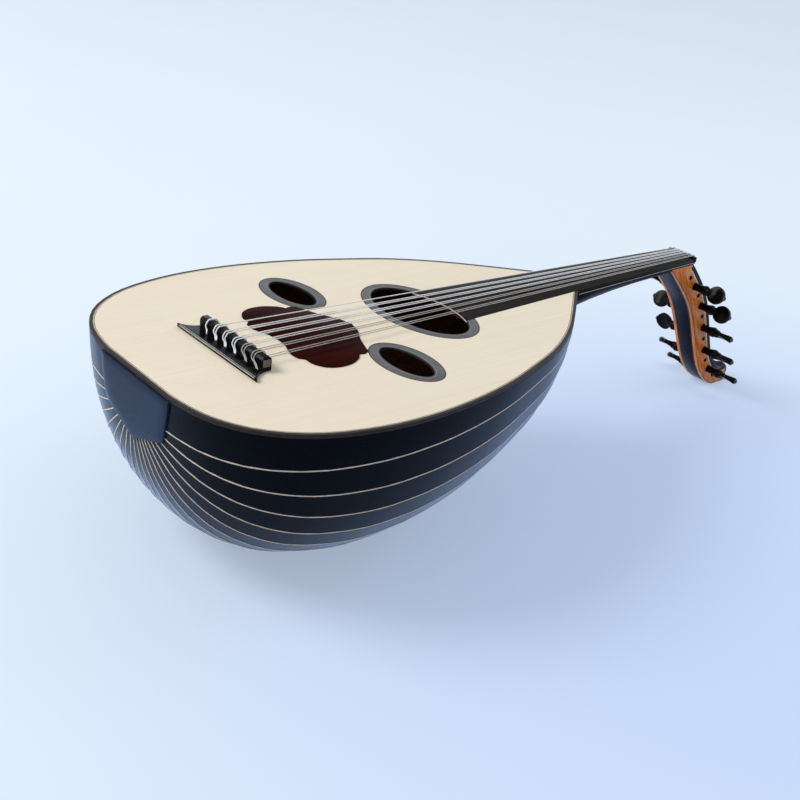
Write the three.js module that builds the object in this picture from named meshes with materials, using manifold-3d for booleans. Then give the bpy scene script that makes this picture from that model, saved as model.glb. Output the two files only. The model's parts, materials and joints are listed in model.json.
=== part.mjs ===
// Oud: a short-necked lute with a ribbed bowl, lying on its back.
// Millimetres, +Z up, +Y from the tail to the nut, +X to the treble side.
// The soundboard's top is at height zero while the pieces are made, and the
// whole oud is then raised, so that the flat on its middle rib is the origin.
import * as THREE from 'three';
import { mergeVertices } from 'three/addons/utils/BufferGeometryUtils.js';
import Module from 'manifold-3d';

const wasm = await Module();
wasm.setup();

// Driving sizes of the whole instrument
const SCALE_LENGTH = 577;
const NECK_LENGTH = 199;
const BRIDGE_FROM_TAIL_LENGTH = 96;
const HALF_WIDTH = 172.5;
const BOWL_DEPTH = 177;
const REST_FLAT_DEPTH = 0.8;
const JOINT_HALF_WIDTH = 29.5;
const NUT_HALF_WIDTH = 18;
const GLUE_GAP = 0.3;
const LAY_GAP = 0.2;
const OVERRUN_LENGTH = 5;
const SHAPE_SEGMENTS = 12;
const SEARCH_STEPS = 40;

// Bowl
const RIB_COUNT = 21;
const RIB_THICKNESS = 3;
const POLE_DROP_TAIL = 28;
const POLE_DROP_NECK = 5;
const SECTION_FULLNESS_SHARE = 0.9;
const RIB_TAIL_STATIONS = 14;
const RIB_NECK_STATIONS = 17;
const REST_HALF_LENGTH = 15;
const EDGE_RIB_SEGMENTS = 4;
const RIB_TIP_HALF_WIDTH = 39;
const EDGE_RIB_TIP_HALF_WIDTH = 12;

// Soundboard, its edge and what is let into it
const BOARD_THICKNESS = 2.2;
const BINDING_HEIGHT = 3.2;
const BINDING_WIDTH = 2.6;
const BOARD_STEPS = 44;
const INLAY_THICKNESS = 0.9;
const RING_WIDTH = 9.5;
const HOLE_SEGMENTS = 36;
const SMALL_HOLE_OFFSET_SHARE = 0.487;
const SMALL_HOLE_PLACE_SHARE = 0.4363;
const SMALL_RING_HALF_LENGTH = 41.5;
const SMALL_RING_HALF_WIDTH = 25;
const BIG_HOLE_PLACE_SHARE = 0.6134;
const TONGUE_EDGE_SHARE = 0.8;
const BIG_RING_HALF_LENGTH = 69.5;
const BIG_RING_HALF_WIDTH = 42;
const GUARD_THICKNESS = 0.8;
const GUARD_HALF_LENGTH = 68;
const GUARD_WIDTH = 85;
const GUARD_TO_HOLE_LENGTH = 79.5;

// Bridge
const PLATE_HALF_LENGTH = 62;
const PLATE_WIDTH = 23;
const PLATE_THICKNESS = 3.4;
const BLOCK_HALF_LENGTH = 47.5;
const BLOCK_WIDTH = 9.5;
const BLOCK_HEIGHT = 12.6;
const BLOCK_CHAMFER_WIDTH = 2.2;
const STRING_HOLE_HEIGHT = 6.6;
const STRING_HOLE_RADIUS = 0.95;
const STRING_HOLE_SEGMENTS = 6;
const GUARD_CURVE_SEGMENTS = 6;

// Neck, fingerboard and nut
const FINGERBOARD_THICKNESS = 4;
const NECK_DEPTH_AT_NUT = 16;
const NECK_HEEL_POWER = 3;
const NECK_STATIONS = 6;
const NECK_SECTION_STEPS = 14;
const NECK_JOINT_STATIONS = 6;
const TONGUE_THICKNESS = 7;
const NUT_WIDTH = 5.5;
const NUT_HEIGHT = 2.2;
const NUT_SEGMENTS = 4;

// Pegbox
const PEGBOX_LENGTH = 120;
const PEGBOX_DROP_SHARE = 1;
const PEGBOX_TOP_HALF_WIDTH = 17.2;
const PEGBOX_TOE_HALF_WIDTH = 13.2;
const CHEEK_THICKNESS = 3.8;
const CHEEK_FRONT_DEPTH = 10.5;
const CHEEK_BACK_DEPTH = 16;
const CHEEK_TOE_BACK_DEPTH = 9.8;
const BACK_THICKNESS = 4;
const PEGBOX_STEPS = 26;
const TOE_STEPS = 5;
const FINIAL_RADIUS = 9.5;
const FINIAL_SEGMENTS = 16;
const FINIAL_OFFSET = 6;
const TOE_BLOCK_LENGTH = 16;

// Pegs
const PEG_COUNT = 11;
const FIRST_PEG_SHARE = 0.1607;
const LAST_PEG_SHARE = 0.8892;
const SHAFT_RADIUS = 4.1;
const SHAFT_SHOULDER_RADIUS = 3.6;
const SHAFT_TIP_RADIUS = 2.2;
const SHAFT_LENGTH = 18;
const SHAFT_TIP_LENGTH = 1;
const PEG_GAP = 0.3;
const COLLAR_RADIUS = 5.8;
const HEAD_RADIUS = 10;
const HEAD_THICKNESS = 8;
const HEAD_WAIST_THICKNESS = 5;
const PIP_RADIUS = 2.4;
const COLLAR_START_SHARE = 0.45;
const COLLAR_PLACE_SHARE = 0.85;
const COLLAR_END_SHARE = 0.9;
const PIP_NECK_SHARE = 0.8;
const PEG_SEGMENTS = 12;
const PEG_FACE_SEGMENTS = 20;
const PEG_HOLE_SEGMENTS = 8;

// Strings: one single bass and five pairs
const COURSE_COUNT = 6;
const BRIDGE_COURSE_WIDTH = 14.2;
const NUT_COURSE_WIDTH = 5.4;
const BRIDGE_PAIR_WIDTH = 3.5;
const NUT_PAIR_WIDTH = 2;
const BASS_DIAMETER = 1.1;
const TREBLE_DIAMETER = 0.7;
const STRING_SIDES = 6;
const WOUND_COUNT = 7;
const WRAP_TURNS = 2;
const WRAP_STEPS = 16;
const WRAP_GAP = 0.5;
const LANE_GAP = 1.3;
const LANE_BEND_SHARE = 0.6;
const LANE_HEIGHT = 2.4;

// Blocks and bars inside the bowl
const NECK_BLOCK_LENGTH = 34;
const BLOCK_STATIONS = 3;
const BLOCK_FIT_SHARE = 0.99;
const TAIL_BLOCK_RADIUS = 46;
const TAIL_BLOCK_LENGTH = 10;
const TAIL_BLOCK_GAP = 1;
const BAR_WIDTH = 5.5;
const BAR_DEPTH = 11;
const SEAM_STRIP_WIDTH = 14;
const SEAM_STRIP_THICKNESS = 1.6;

// End clasp
const CLASP_HALF_WIDTH = 54;
const CLASP_CORNER_HALF_WIDTH = 46;
const CLASP_CORNER_DROP = 43;
const CLASP_DROP = 61;
const CLASP_THICKNESS = 1.6;
const CLASP_COLUMNS = 14;
const CLASP_CURVE_SHARE = 0.7;
const CLASP_ROWS = 6;

// Places that follow from the driving sizes
const REST_HEIGHT = BOWL_DEPTH - REST_FLAT_DEPTH;
const PEGBOX_DROP = BOWL_DEPTH * PEGBOX_DROP_SHARE;
const BODY_LENGTH = SCALE_LENGTH - NECK_LENGTH + BRIDGE_FROM_TAIL_LENGTH;
const NUT_Y = BODY_LENGTH + NECK_LENGTH;
const SMALL_HOLE_OFFSET = HALF_WIDTH * SMALL_HOLE_OFFSET_SHARE;
const SMALL_HOLE_Y = BODY_LENGTH * SMALL_HOLE_PLACE_SHARE;
const BIG_HOLE_Y = BODY_LENGTH * BIG_HOLE_PLACE_SHARE;
const GUARD_TAIL_Y = SMALL_HOLE_Y - GUARD_TO_HOLE_LENGTH;
const PLATE_TAIL_Y = BRIDGE_FROM_TAIL_LENGTH - PLATE_WIDTH;
const DEPTH_SHARE = BOWL_DEPTH / HALF_WIDTH;
const RIB_TOP = BINDING_HEIGHT + GLUE_GAP;
const MIDDLE_POLE_DROP = (POLE_DROP_TAIL * 2 + POLE_DROP_NECK) / 3;
const RIB_ANGLE = (Math.PI + 2 * Math.asin(MIDDLE_POLE_DROP / HALF_WIDTH)) / RIB_COUNT;
const BLOCK_BACK_Y = BRIDGE_FROM_TAIL_LENGTH - BLOCK_WIDTH;
const WIDEST_SHARE = 0.335;
const REST_Y = BODY_LENGTH * WIDEST_SHARE;

const WOODS = {
  ebony: { color: 0x16181c, roughness: 0.35, metalness: 0 },
  bowl: { color: 0x10151d, roughness: 0.3, metalness: 0 },
  spruce: { color: 0xe8dbc0, roughness: 0.55, metalness: 0 },
  binding: { color: 0x6b5a4a, roughness: 0.5, metalness: 0 },
  ring: { color: 0x4b4542, roughness: 0.5, metalness: 0 },
  rosewood: { color: 0x2a0c08, roughness: 0.3, metalness: 0 },
  cheek: { color: 0xb9631c, roughness: 0.35, metalness: 0 },
  block: { color: 0xc9a878, roughness: 0.7, metalness: 0 },
  wound: { color: 0xc9c9c6, roughness: 0.3, metalness: 0.8 },
  nylon: { color: 0xb9b4a8, roughness: 0.35, metalness: 0 },
};

const oud = new THREE.Group();
oud.name = 'oud';

function addPiece(name, geometry, wood, position, rotation) {
  const mesh = new THREE.Mesh(geometry, new THREE.MeshStandardMaterial(WOODS[wood]));
  mesh.name = name;
  if (position) mesh.position.copy(position);
  if (rotation) mesh.rotation.copy(rotation);
  oud.add(mesh);
  return mesh;
}

// A closed body through rings of points, all with the same count, capped at both ends
function loft(rings) {
  const count = rings[0].length;
  const positions = [];
  const index = [];
  rings.forEach((ring) => ring.forEach((p) => positions.push(p.x, p.y, p.z)));
  for (let i = 0; i < rings.length - 1; i++) {
    for (let j = 0; j < count; j++) {
      const a = i * count + j;
      const b = i * count + ((j + 1) % count);
      index.push(a, b, a + count, b, b + count, a + count);
    }
  }
  const last = (rings.length - 1) * count;
  for (let j = 1; j < count - 1; j++) {
    index.push(0, j + 1, j);
    index.push(last, last + j, last + j + 1);
  }
  const geometry = new THREE.BufferGeometry();
  geometry.setAttribute('position', new THREE.Float32BufferAttribute(positions, 3));
  geometry.setIndex(index);
  return geometry;
}

// The same, turned inside out where the rings run the other way round
function loftReversed(rings) {
  return loft(rings.map((ring) => [...ring].reverse()));
}

function toSolid(geometry) {
  const bare = geometry.clone();
  bare.deleteAttribute('normal');
  bare.deleteAttribute('uv');
  const merged = mergeVertices(bare, 1e-4);
  return new wasm.Manifold(new wasm.Mesh({
    numProp: 3,
    vertProperties: new Float32Array(merged.attributes.position.array),
    triVerts: new Uint32Array(merged.index.array),
  }));
}

function toGeometry(solid) {
  const mesh = solid.getMesh();
  const geometry = new THREE.BufferGeometry();
  geometry.setAttribute('position', new THREE.Float32BufferAttribute(mesh.vertProperties, 3));
  geometry.setIndex(Array.from(mesh.triVerts));
  return geometry;
}

// Turns a plate's outline into the upright plane along the neck
const STAND_ACROSS = new THREE.Matrix4().set(0, 0, 1, 0, 1, 0, 0, 0, 0, 1, 0, 0, 0, 0, 0, 1);

function slab(shape, bottom, thickness, segments = SHAPE_SEGMENTS) {
  const geometry = new THREE.ExtrudeGeometry(shape, {
    depth: thickness,
    bevelEnabled: false,
    curveSegments: segments,
  });
  geometry.translate(0, 0, bottom);
  return geometry;
}

function box(low, high) {
  const size = new THREE.Vector3().subVectors(high, low);
  const geometry = new THREE.BoxGeometry(size.x, size.y, size.z);
  const middle = new THREE.Vector3().addVectors(low, high).multiplyScalar(0.5);
  geometry.translate(middle.x, middle.y, middle.z);
  return geometry;
}

function polygon(points) {
  return new THREE.Shape(points.map(([x, y]) => new THREE.Vector2(x, y)));
}

function ellipsePath(x, y, halfLength, halfWidth) {
  const path = new THREE.Shape();
  path.absellipse(x, y, halfLength, halfWidth, 0, 2 * Math.PI, false, 0);
  return path;
}

function lerp(a, b, share) {
  return a + (b - a) * share;
}

// Outline of the body: half width and place along the body, both as shares
const OUTLINE_SHARES = [
  [0, 0],
  [0.15, 0],
  [0.3, 0.0005],
  [0.55, 0.019],
  [0.75, 0.064],
  [0.9, 0.14],
  [0.98, 0.24],
  [1, WIDEST_SHARE],
  [0.978, 0.437],
  [0.915, 0.548],
  [0.82, 0.65],
  [0.72, 0.739],
  [0.566, 0.831],
  [0.37, 0.918],
  [JOINT_HALF_WIDTH / HALF_WIDTH, 1],
];
const outlineCurve = new THREE.CatmullRomCurve3(
  OUTLINE_SHARES.map(([across, along]) => new THREE.Vector3(across * HALF_WIDTH, along * BODY_LENGTH, 0)),
);

// A point of the outline, with the direction that points into the body
function outlineAt(share) {
  const point = outlineCurve.getPoint(share);
  const tangent = outlineCurve.getTangent(share);
  return {
    across: Math.max(0, point.x),
    along: Math.max(0, point.y),
    inward: new THREE.Vector2(-tangent.y, tangent.x),
  };
}

// The share along the outline at which the half width is first reached, from the tail
function shareOfHalfWidth(halfWidth) {
  let low = 0;
  let high = 0.5;
  for (let i = 0; i < SEARCH_STEPS; i++) {
    const middle = (low + high) / 2;
    if (outlineCurve.getPoint(middle).x < halfWidth) low = middle;
    else high = middle;
  }
  return (low + high) / 2;
}

// The share along the outline at which a place along the body is first reached
function shareAtLength(y) {
  let low = 0;
  let high = 1;
  for (let i = 0; i < SEARCH_STEPS; i++) {
    const middle = (low + high) / 2;
    if (outlineCurve.getPoint(middle).y < y) low = middle;
    else high = middle;
  }
  return (low + high) / 2;
}

function fullPower(value) {
  return Math.sign(value) * Math.abs(value) ** SECTION_FULLNESS_SHARE;
}

// A point of the bowl: the station's share along the outline, the turn round the
// section from the treble edge, and how far inside the outer face it lies
function bowlPoint(share, turn, inset) {
  const { across, along, inward } = outlineAt(share);
  const reach = Math.max(0, across + inward.x * inset);
  return new THREE.Vector3(
    reach * fullPower(Math.cos(turn)),
    along + inward.y * inset,
    -DEPTH_SHARE * reach * fullPower(Math.sin(turn)),
  );
}

function poleDrop(share) {
  return lerp(POLE_DROP_TAIL, POLE_DROP_NECK, outlineAt(share).along / BODY_LENGTH);
}

// Where the line between two ribs crosses a station: the lines fan out from a
// pole a little below the soundboard
function lineTurn(share, line) {
  if (line > RIB_COUNT / 2) return Math.PI - lineTurn(share, RIB_COUNT - line);
  const angle = Math.PI / 2 - RIB_ANGLE * (RIB_COUNT / 2 - line);
  const { across } = outlineAt(share);
  const drop = poleDrop(share);
  const miss = (turn) => (DEPTH_SHARE * across * fullPower(Math.sin(turn)) - drop) * Math.cos(angle)
    - across * fullPower(Math.cos(turn)) * Math.sin(angle);
  let low = 0;
  let high = Math.PI / 2;
  if (miss(high) < 0) return high;
  for (let i = 0; i < SEARCH_STEPS; i++) {
    const middle = (low + high) / 2;
    if (miss(middle) < 0) low = middle;
    else high = middle;
  }
  return (low + high) / 2;
}

// The turn at which a station's section is a given depth below the soundboard
function turnAtDepth(share, depth) {
  const { across } = outlineAt(share);
  return Math.asin(Math.min(1, depth / (DEPTH_SHARE * across)) ** (1 / SECTION_FULLNESS_SHARE));
}

// The rib's stations, two of them at the ends of the flat the oud lies on
function ribStations(tipHalfWidth) {
  const evenly = (from, to, count) => {
    const shares = [];
    for (let i = 0; i < count; i++) shares.push(lerp(from, to, i / (count - 1)));
    return shares;
  };
  const first = shareOfHalfWidth(tipHalfWidth);
  return [
    ...evenly(first, shareAtLength(REST_Y - REST_HALF_LENGTH), RIB_TAIL_STATIONS),
    ...evenly(shareAtLength(REST_Y + REST_HALF_LENGTH), 1, RIB_NECK_STATIONS),
  ];
}

function moveToward(from, to, distance) {
  return from.clone().add(new THREE.Vector3().subVectors(to, from).setLength(distance));
}

// One rib's ring of points at a station: outer face across, then inner face back
function ribRing(share, from, to, segments) {
  const face = (inset) => {
    const points = [];
    for (let i = 0; i <= segments; i++) points.push(bowlPoint(share, lerp(from, to, i / segments), inset));
    const first = moveToward(points[0], points[1], GLUE_GAP / 2);
    const last = moveToward(points[segments], points[segments - 1], GLUE_GAP / 2);
    points[0] = first;
    points[segments] = last;
    return points.map((p) => new THREE.Vector3(p.x, p.y, Math.max(p.z, -REST_HEIGHT)));
  };
  return [...face(0), ...face(RIB_THICKNESS).reverse()];
}

function makeRibs() {
  for (let rib = 0; rib < RIB_COUNT; rib++) {
    const trebleEdge = rib === 0;
    const bassEdge = rib === RIB_COUNT - 1;
    const edge = trebleEdge || bassEdge;
    const stations = ribStations(edge ? EDGE_RIB_TIP_HALF_WIDTH : RIB_TIP_HALF_WIDTH);
    const rings = stations.map((share) => {
      const top = turnAtDepth(share, RIB_TOP);
      const from = trebleEdge ? top : lineTurn(share, rib);
      const to = bassEdge ? Math.PI - top : lineTurn(share, rib + 1);
      return ribRing(share, from, to, edge ? EDGE_RIB_SEGMENTS : 1);
    });
    addPiece(`bowl_rib_${String(rib + 1).padStart(2, '0')}`, loft(rings), 'bowl');
  }
}

// The body's outline from the treble side of the neck round the tail to the bass side
function boardOutline(inset, ends) {
  const points = [];
  for (let i = -BOARD_STEPS; i <= BOARD_STEPS; i++) {
    const side = i < 0 ? 1 : -1;
    const { across, along, inward } = outlineAt(Math.abs(i) / BOARD_STEPS);
    if (i === 0) points.push([0, inset]);
    else points.push([side * (across + inward.x * inset), along + inward.y * inset]);
  }
  const last = points.length - 1;
  const slope = (a, b) => (points[a][0] - points[b][0]) / (points[a][1] - points[b][1]);
  const trebleSlope = slope(0, 1);
  const bassSlope = slope(last, last - 1);
  points[0] = [points[0][0] + (ends - points[0][1]) * trebleSlope, ends];
  points[last] = [points[last][0] + (ends - points[last][1]) * bassSlope, ends];
  return points;
}

// Width of the fingerboard's half at a place along it; it tapers from the body to the nut
function fingerboardHalfWidth(y) {
  return lerp(JOINT_HALF_WIDTH, NUT_HALF_WIDTH, (y - BODY_LENGTH) / NECK_LENGTH);
}

// The fingerboard's tongue over the soundboard ends on the inner edge of the big hole
function tonguePoints(inset, endY) {
  const halfLength = BIG_RING_HALF_LENGTH - RING_WIDTH - inset;
  const halfWidth = BIG_RING_HALF_WIDTH - RING_WIDTH - inset;
  const points = [];
  const edgeY = BIG_HOLE_Y + halfWidth * TONGUE_EDGE_SHARE;
  const reach = fingerboardHalfWidth(edgeY) + inset;
  const steps = HOLE_SEGMENTS / 4;
  for (let i = 0; i <= steps; i++) {
    const x = lerp(-reach, reach, i / steps);
    points.push([x, BIG_HOLE_Y + halfWidth * Math.sqrt(1 - (x / halfLength) ** 2)]);
  }
  const end = fingerboardHalfWidth(endY) + inset;
  points.push([end, endY], [-end, endY]);
  return points;
}

const HOLES = [
  { name: 'soundhole_ring_treble', x: SMALL_HOLE_OFFSET, y: SMALL_HOLE_Y, halfLength: SMALL_RING_HALF_LENGTH,
    halfWidth: SMALL_RING_HALF_WIDTH },
  { name: 'soundhole_ring_bass', x: -SMALL_HOLE_OFFSET, y: SMALL_HOLE_Y, halfLength: SMALL_RING_HALF_LENGTH,
    halfWidth: SMALL_RING_HALF_WIDTH },
  { name: 'soundhole_ring_middle', x: 0, y: BIG_HOLE_Y, halfLength: BIG_RING_HALF_LENGTH,
    halfWidth: BIG_RING_HALF_WIDTH },
];

function makeSoundboard() {
  const shape = polygon(boardOutline(BINDING_WIDTH + GLUE_GAP, BODY_LENGTH));
  HOLES.forEach(({ x, y, halfLength, halfWidth }) => {
    shape.holes.push(ellipsePath(x, y, halfLength - RING_WIDTH, halfWidth - RING_WIDTH));
  });
  let board = toSolid(slab(shape, -BOARD_THICKNESS, BOARD_THICKNESS, HOLE_SEGMENTS / 2));
  const pocketDepth = INLAY_THICKNESS + LAY_GAP;
  const pocketHeight = pocketDepth + OVERRUN_LENGTH;
  HOLES.forEach(({ x, y, halfLength, halfWidth }) => {
    const pocket = slab(
      ellipsePath(x, y, halfLength + GLUE_GAP, halfWidth + GLUE_GAP),
      -pocketDepth,
      pocketHeight,
      HOLE_SEGMENTS,
    );
    board = board.subtract(toSolid(pocket));
  });
  const tongue = polygon(tonguePoints(GLUE_GAP, BODY_LENGTH + OVERRUN_LENGTH));
  const slot = slab(tongue, -pocketDepth, pocketHeight);
  board = board.subtract(toSolid(slot));
  addPiece('soundboard', toGeometry(board), 'spruce');
}

function makeBinding() {
  const outer = boardOutline(0, BODY_LENGTH - GLUE_GAP);
  const inner = boardOutline(BINDING_WIDTH, BODY_LENGTH - GLUE_GAP);
  const rings = outer.map(([x, y], i) => [
    new THREE.Vector3(x, y, 0),
    new THREE.Vector3(x, y, -BINDING_HEIGHT),
    new THREE.Vector3(inner[i][0], inner[i][1], -BINDING_HEIGHT),
    new THREE.Vector3(inner[i][0], inner[i][1], 0),
  ]);
  const tongue = polygon(tonguePoints(GLUE_GAP, BODY_LENGTH + OVERRUN_LENGTH));
  const slot = slab(tongue, -INLAY_THICKNESS - LAY_GAP, OVERRUN_LENGTH);
  addPiece('edge_binding', toGeometry(toSolid(loftReversed(rings)).subtract(toSolid(slot))), 'binding');
}

function makeRings() {
  HOLES.forEach(({ name, x, y, halfLength, halfWidth }) => {
    const shape = ellipsePath(x, y, halfLength, halfWidth);
    shape.holes.push(ellipsePath(x, y, halfLength - RING_WIDTH, halfWidth - RING_WIDTH));
    let ring = toSolid(slab(shape, -INLAY_THICKNESS, INLAY_THICKNESS, HOLE_SEGMENTS / 2));
    if (x === 0) {
      const tongue = polygon(tonguePoints(2 * GLUE_GAP, BODY_LENGTH));
      const slot = slab(tongue, -OVERRUN_LENGTH, 2 * OVERRUN_LENGTH);
      ring = ring.subtract(toSolid(slot));
    }
    addPiece(name, toGeometry(ring), 'ring');
  });
}

// Half of the pickguard's outline, as shares of its half length and its width: the
// tail edge, the lobe and the neck edge are smooth, and meet at points
const GUARD_TAIL_SHARES = [[0, 0.085], [0.18, 0.07], [0.34, 0.02], [0.46, 0], [0.575, 0.012]];
const GUARD_LOBE_SHARES = [
  [0.575, 0.012],
  [0.64, 0.06],
  [0.78, 0.065],
  [0.93, 0.14],
  [1, 0.27],
  [0.985, 0.42],
  [0.9, 0.55],
  [0.8, 0.615],
];
const GUARD_HORN_SHARES = [[0.8, 0.615], [0.82, 0.67], [0.785, 0.735]];
const GUARD_NECK_SHARES = [[0.785, 0.735], [0.6, 0.79], [0.42, 0.855], [0.22, 0.95], [0, 1]];

function makePickguard() {
  const place = (side) => ([across, along]) => new THREE.Vector2(
    side * across * GUARD_HALF_LENGTH,
    GUARD_TAIL_Y + along * GUARD_WIDTH,
  );
  const stretches = [GUARD_TAIL_SHARES, GUARD_LOBE_SHARES, GUARD_HORN_SHARES, GUARD_NECK_SHARES];
  const shape = new THREE.Shape();
  shape.moveTo(0, GUARD_TAIL_Y + GUARD_TAIL_SHARES[0][1] * GUARD_WIDTH);
  stretches.forEach((stretch) => shape.splineThru(stretch.slice(1).map(place(1))));
  [...stretches].reverse().forEach((stretch) => {
    shape.splineThru([...stretch].reverse().slice(1).map(place(-1)));
  });
  addPiece('pickguard', slab(shape, LAY_GAP, GUARD_THICKNESS, GUARD_CURVE_SEGMENTS / 2), 'rosewood');
}

function stringLanes(courseStep, pairStep) {
  const lanes = [];
  for (let course = 0; course < COURSE_COUNT; course++) {
    const middle = (course - (COURSE_COUNT - 1) / 2) * courseStep;
    if (course === 0) lanes.push(middle);
    else lanes.push(middle - pairStep / 2, middle + pairStep / 2);
  }
  return lanes;
}
const BRIDGE_LANES = stringLanes(BRIDGE_COURSE_WIDTH, BRIDGE_PAIR_WIDTH);
const NUT_LANES = stringLanes(NUT_COURSE_WIDTH, NUT_PAIR_WIDTH);

// The plate's wing from its tip to the block, as shares of its reach past the block
// and of the bridge's width
const PLATE_WING_SHARES = [[1, 0], [0.55, 0.17], [0.22, 0.42], [0.04, 0.7], [0, 1]];

function makeBridge() {
  const wing = PLATE_WING_SHARES.map(([across, along]) => [
    lerp(BLOCK_HALF_LENGTH, PLATE_HALF_LENGTH, across),
    lerp(PLATE_TAIL_Y, BRIDGE_FROM_TAIL_LENGTH, along),
  ]);
  const plate = polygon([...wing, ...wing.map(([x, y]) => [-x, y]).reverse()]);
  const section = polygon([
    [BLOCK_BACK_Y, LAY_GAP],
    [BRIDGE_FROM_TAIL_LENGTH, LAY_GAP],
    [BRIDGE_FROM_TAIL_LENGTH, BLOCK_HEIGHT - BLOCK_CHAMFER_WIDTH],
    [BRIDGE_FROM_TAIL_LENGTH - BLOCK_CHAMFER_WIDTH, BLOCK_HEIGHT],
    [BLOCK_BACK_Y + BLOCK_CHAMFER_WIDTH, BLOCK_HEIGHT],
    [BLOCK_BACK_Y, BLOCK_HEIGHT - BLOCK_CHAMFER_WIDTH],
  ]);
  const block = slab(section, -BLOCK_HALF_LENGTH, 2 * BLOCK_HALF_LENGTH);
  block.applyMatrix4(STAND_ACROSS);
  let bridge = toSolid(slab(plate, LAY_GAP, PLATE_THICKNESS)).add(toSolid(block));
  BRIDGE_LANES.forEach((x) => {
    const hole = new THREE.CylinderGeometry(
      STRING_HOLE_RADIUS,
      STRING_HOLE_RADIUS,
      BLOCK_WIDTH + 2 * OVERRUN_LENGTH,
      STRING_HOLE_SEGMENTS,
    );
    hole.translate(x, BLOCK_BACK_Y + BLOCK_WIDTH / 2, STRING_HOLE_HEIGHT);
    bridge = bridge.subtract(toSolid(hole));
  });
  addPiece('bridge', toGeometry(bridge), 'ebony');
}

function makeFingerboard() {
  const start = BODY_LENGTH + GLUE_GAP;
  const end = NUT_Y - GLUE_GAP;
  const neckPart = polygon([
    [-fingerboardHalfWidth(start), start],
    [fingerboardHalfWidth(start), start],
    [fingerboardHalfWidth(end), end],
    [-fingerboardHalfWidth(end), end],
  ]);
  const thick = toSolid(slab(neckPart, -FINGERBOARD_THICKNESS, FINGERBOARD_THICKNESS));
  const tongue = polygon(tonguePoints(0, start + OVERRUN_LENGTH));
  const thin = toSolid(slab(tongue, -INLAY_THICKNESS, INLAY_THICKNESS));
  addPiece('fingerboard', toGeometry(thick.add(thin)), 'ebony');
}

// Half a section of the neck: flat on top, round below
function neckRing(y, depth) {
  const halfWidth = fingerboardHalfWidth(y);
  const top = FINGERBOARD_THICKNESS + GLUE_GAP;
  const first = Math.asin((top / depth) ** (1 / SECTION_FULLNESS_SHARE));
  const ring = [];
  for (let i = 0; i <= NECK_SECTION_STEPS; i++) {
    const turn = lerp(first, Math.PI - first, i / NECK_SECTION_STEPS);
    const across = halfWidth * fullPower(Math.cos(turn));
    ring.push(new THREE.Vector3(across, y, -depth * fullPower(Math.sin(turn))));
  }
  return ring;
}

function makeNeck() {
  const start = BODY_LENGTH + GLUE_GAP;
  const end = NUT_Y + NUT_WIDTH;
  const startDepth = DEPTH_SHARE * JOINT_HALF_WIDTH;
  const rings = [];
  for (let i = 0; i <= NECK_STATIONS; i++) {
    const share = i / NECK_STATIONS;
    const heel = (1 - share) ** NECK_HEEL_POWER;
    rings.push(neckRing(lerp(start, end, share), lerp(NECK_DEPTH_AT_NUT, startDepth, heel)));
  }
  const joint = [];
  for (let i = 0; i <= NECK_JOINT_STATIONS; i++) {
    const share = i / PEGBOX_STEPS;
    joint.push(besideSpine(share, backOffset(share) - GLUE_GAP));
  }
  const [firstY, firstZ] = joint[0];
  const rise = -TONGUE_THICKNESS - firstZ;
  const lastZ = joint[NECK_JOINT_STATIONS][1];
  const cut = polygon([
    [firstY - rise, -TONGUE_THICKNESS],
    ...joint,
    [end + OVERRUN_LENGTH, lastZ],
    [end + OVERRUN_LENGTH, -TONGUE_THICKNESS],
  ]);
  const room = toSolid(acrossPlate(cut, -HALF_WIDTH, HALF_WIDTH));
  addPiece('neck', toGeometry(toSolid(loft(rings)).subtract(room)), 'ebony');
}

function makeNut() {
  const bottom = -FINGERBOARD_THICKNESS;
  const section = new THREE.Shape();
  section.moveTo(NUT_Y, bottom);
  section.lineTo(NUT_Y + NUT_WIDTH, bottom);
  section.lineTo(NUT_Y + NUT_WIDTH, 0);
  section.quadraticCurveTo(NUT_Y + NUT_WIDTH, NUT_HEIGHT, NUT_Y + NUT_WIDTH / 2, NUT_HEIGHT);
  section.lineTo(NUT_Y, NUT_HEIGHT);
  const nut = slab(section, -NUT_HALF_WIDTH, 2 * NUT_HALF_WIDTH, NUT_SEGMENTS);
  nut.applyMatrix4(STAND_ACROSS);
  addPiece('nut', nut, 'ebony');
}

// The line through the pegs, as shares of the pegbox's reach past the nut and of its drop
const SPINE_SHARES = [
  [-0.19, 0.017],
  [0.037, -0.13],
  [0.237, -0.282],
  [0.385, -0.452],
  [0.493, -0.621],
  [0.61, -0.785],
  [0.777, -0.915],
  [0.9, -0.945],
  [1.01, -0.945],
];
const spine = new THREE.CatmullRomCurve3(SPINE_SHARES.map(([reach, drop]) => (
  new THREE.Vector3(0, NUT_Y + reach * PEGBOX_LENGTH, drop * PEGBOX_DROP)
)));
const SPINE_LENGTH = spine.getLength();

// A point beside the spine, forward of it, in the plane of the neck's middle
function besideSpine(share, forward) {
  const point = spine.getPointAt(share);
  const tangent = spine.getTangentAt(share);
  return [point.y - tangent.z * forward, point.z + tangent.y * forward];
}

function backOffset(share) {
  return -lerp(CHEEK_BACK_DEPTH, CHEEK_TOE_BACK_DEPTH, Math.max(0, share * 2 - 1));
}

function pegboxHalfWidth(z) {
  return lerp(PEGBOX_TOP_HALF_WIDTH, PEGBOX_TOE_HALF_WIDTH, Math.min(1, -z / PEGBOX_DROP));
}

// An outline in the plane of the neck's middle, made into a plate across the neck
function acrossPlate(shape, low, high) {
  const plate = slab(shape, low, high - low);
  plate.applyMatrix4(STAND_ACROSS);
  return plate;
}

function pegShare(peg) {
  return lerp(FIRST_PEG_SHARE, LAST_PEG_SHARE, peg / (PEG_COUNT - 1));
}

function pegPlace(peg) {
  return spine.getPointAt(pegShare(peg));
}

// Odd pegs come in from the bass side and even ones from the treble side
function pegSide(peg) {
  return peg % 2 === 0 ? -1 : 1;
}

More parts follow.
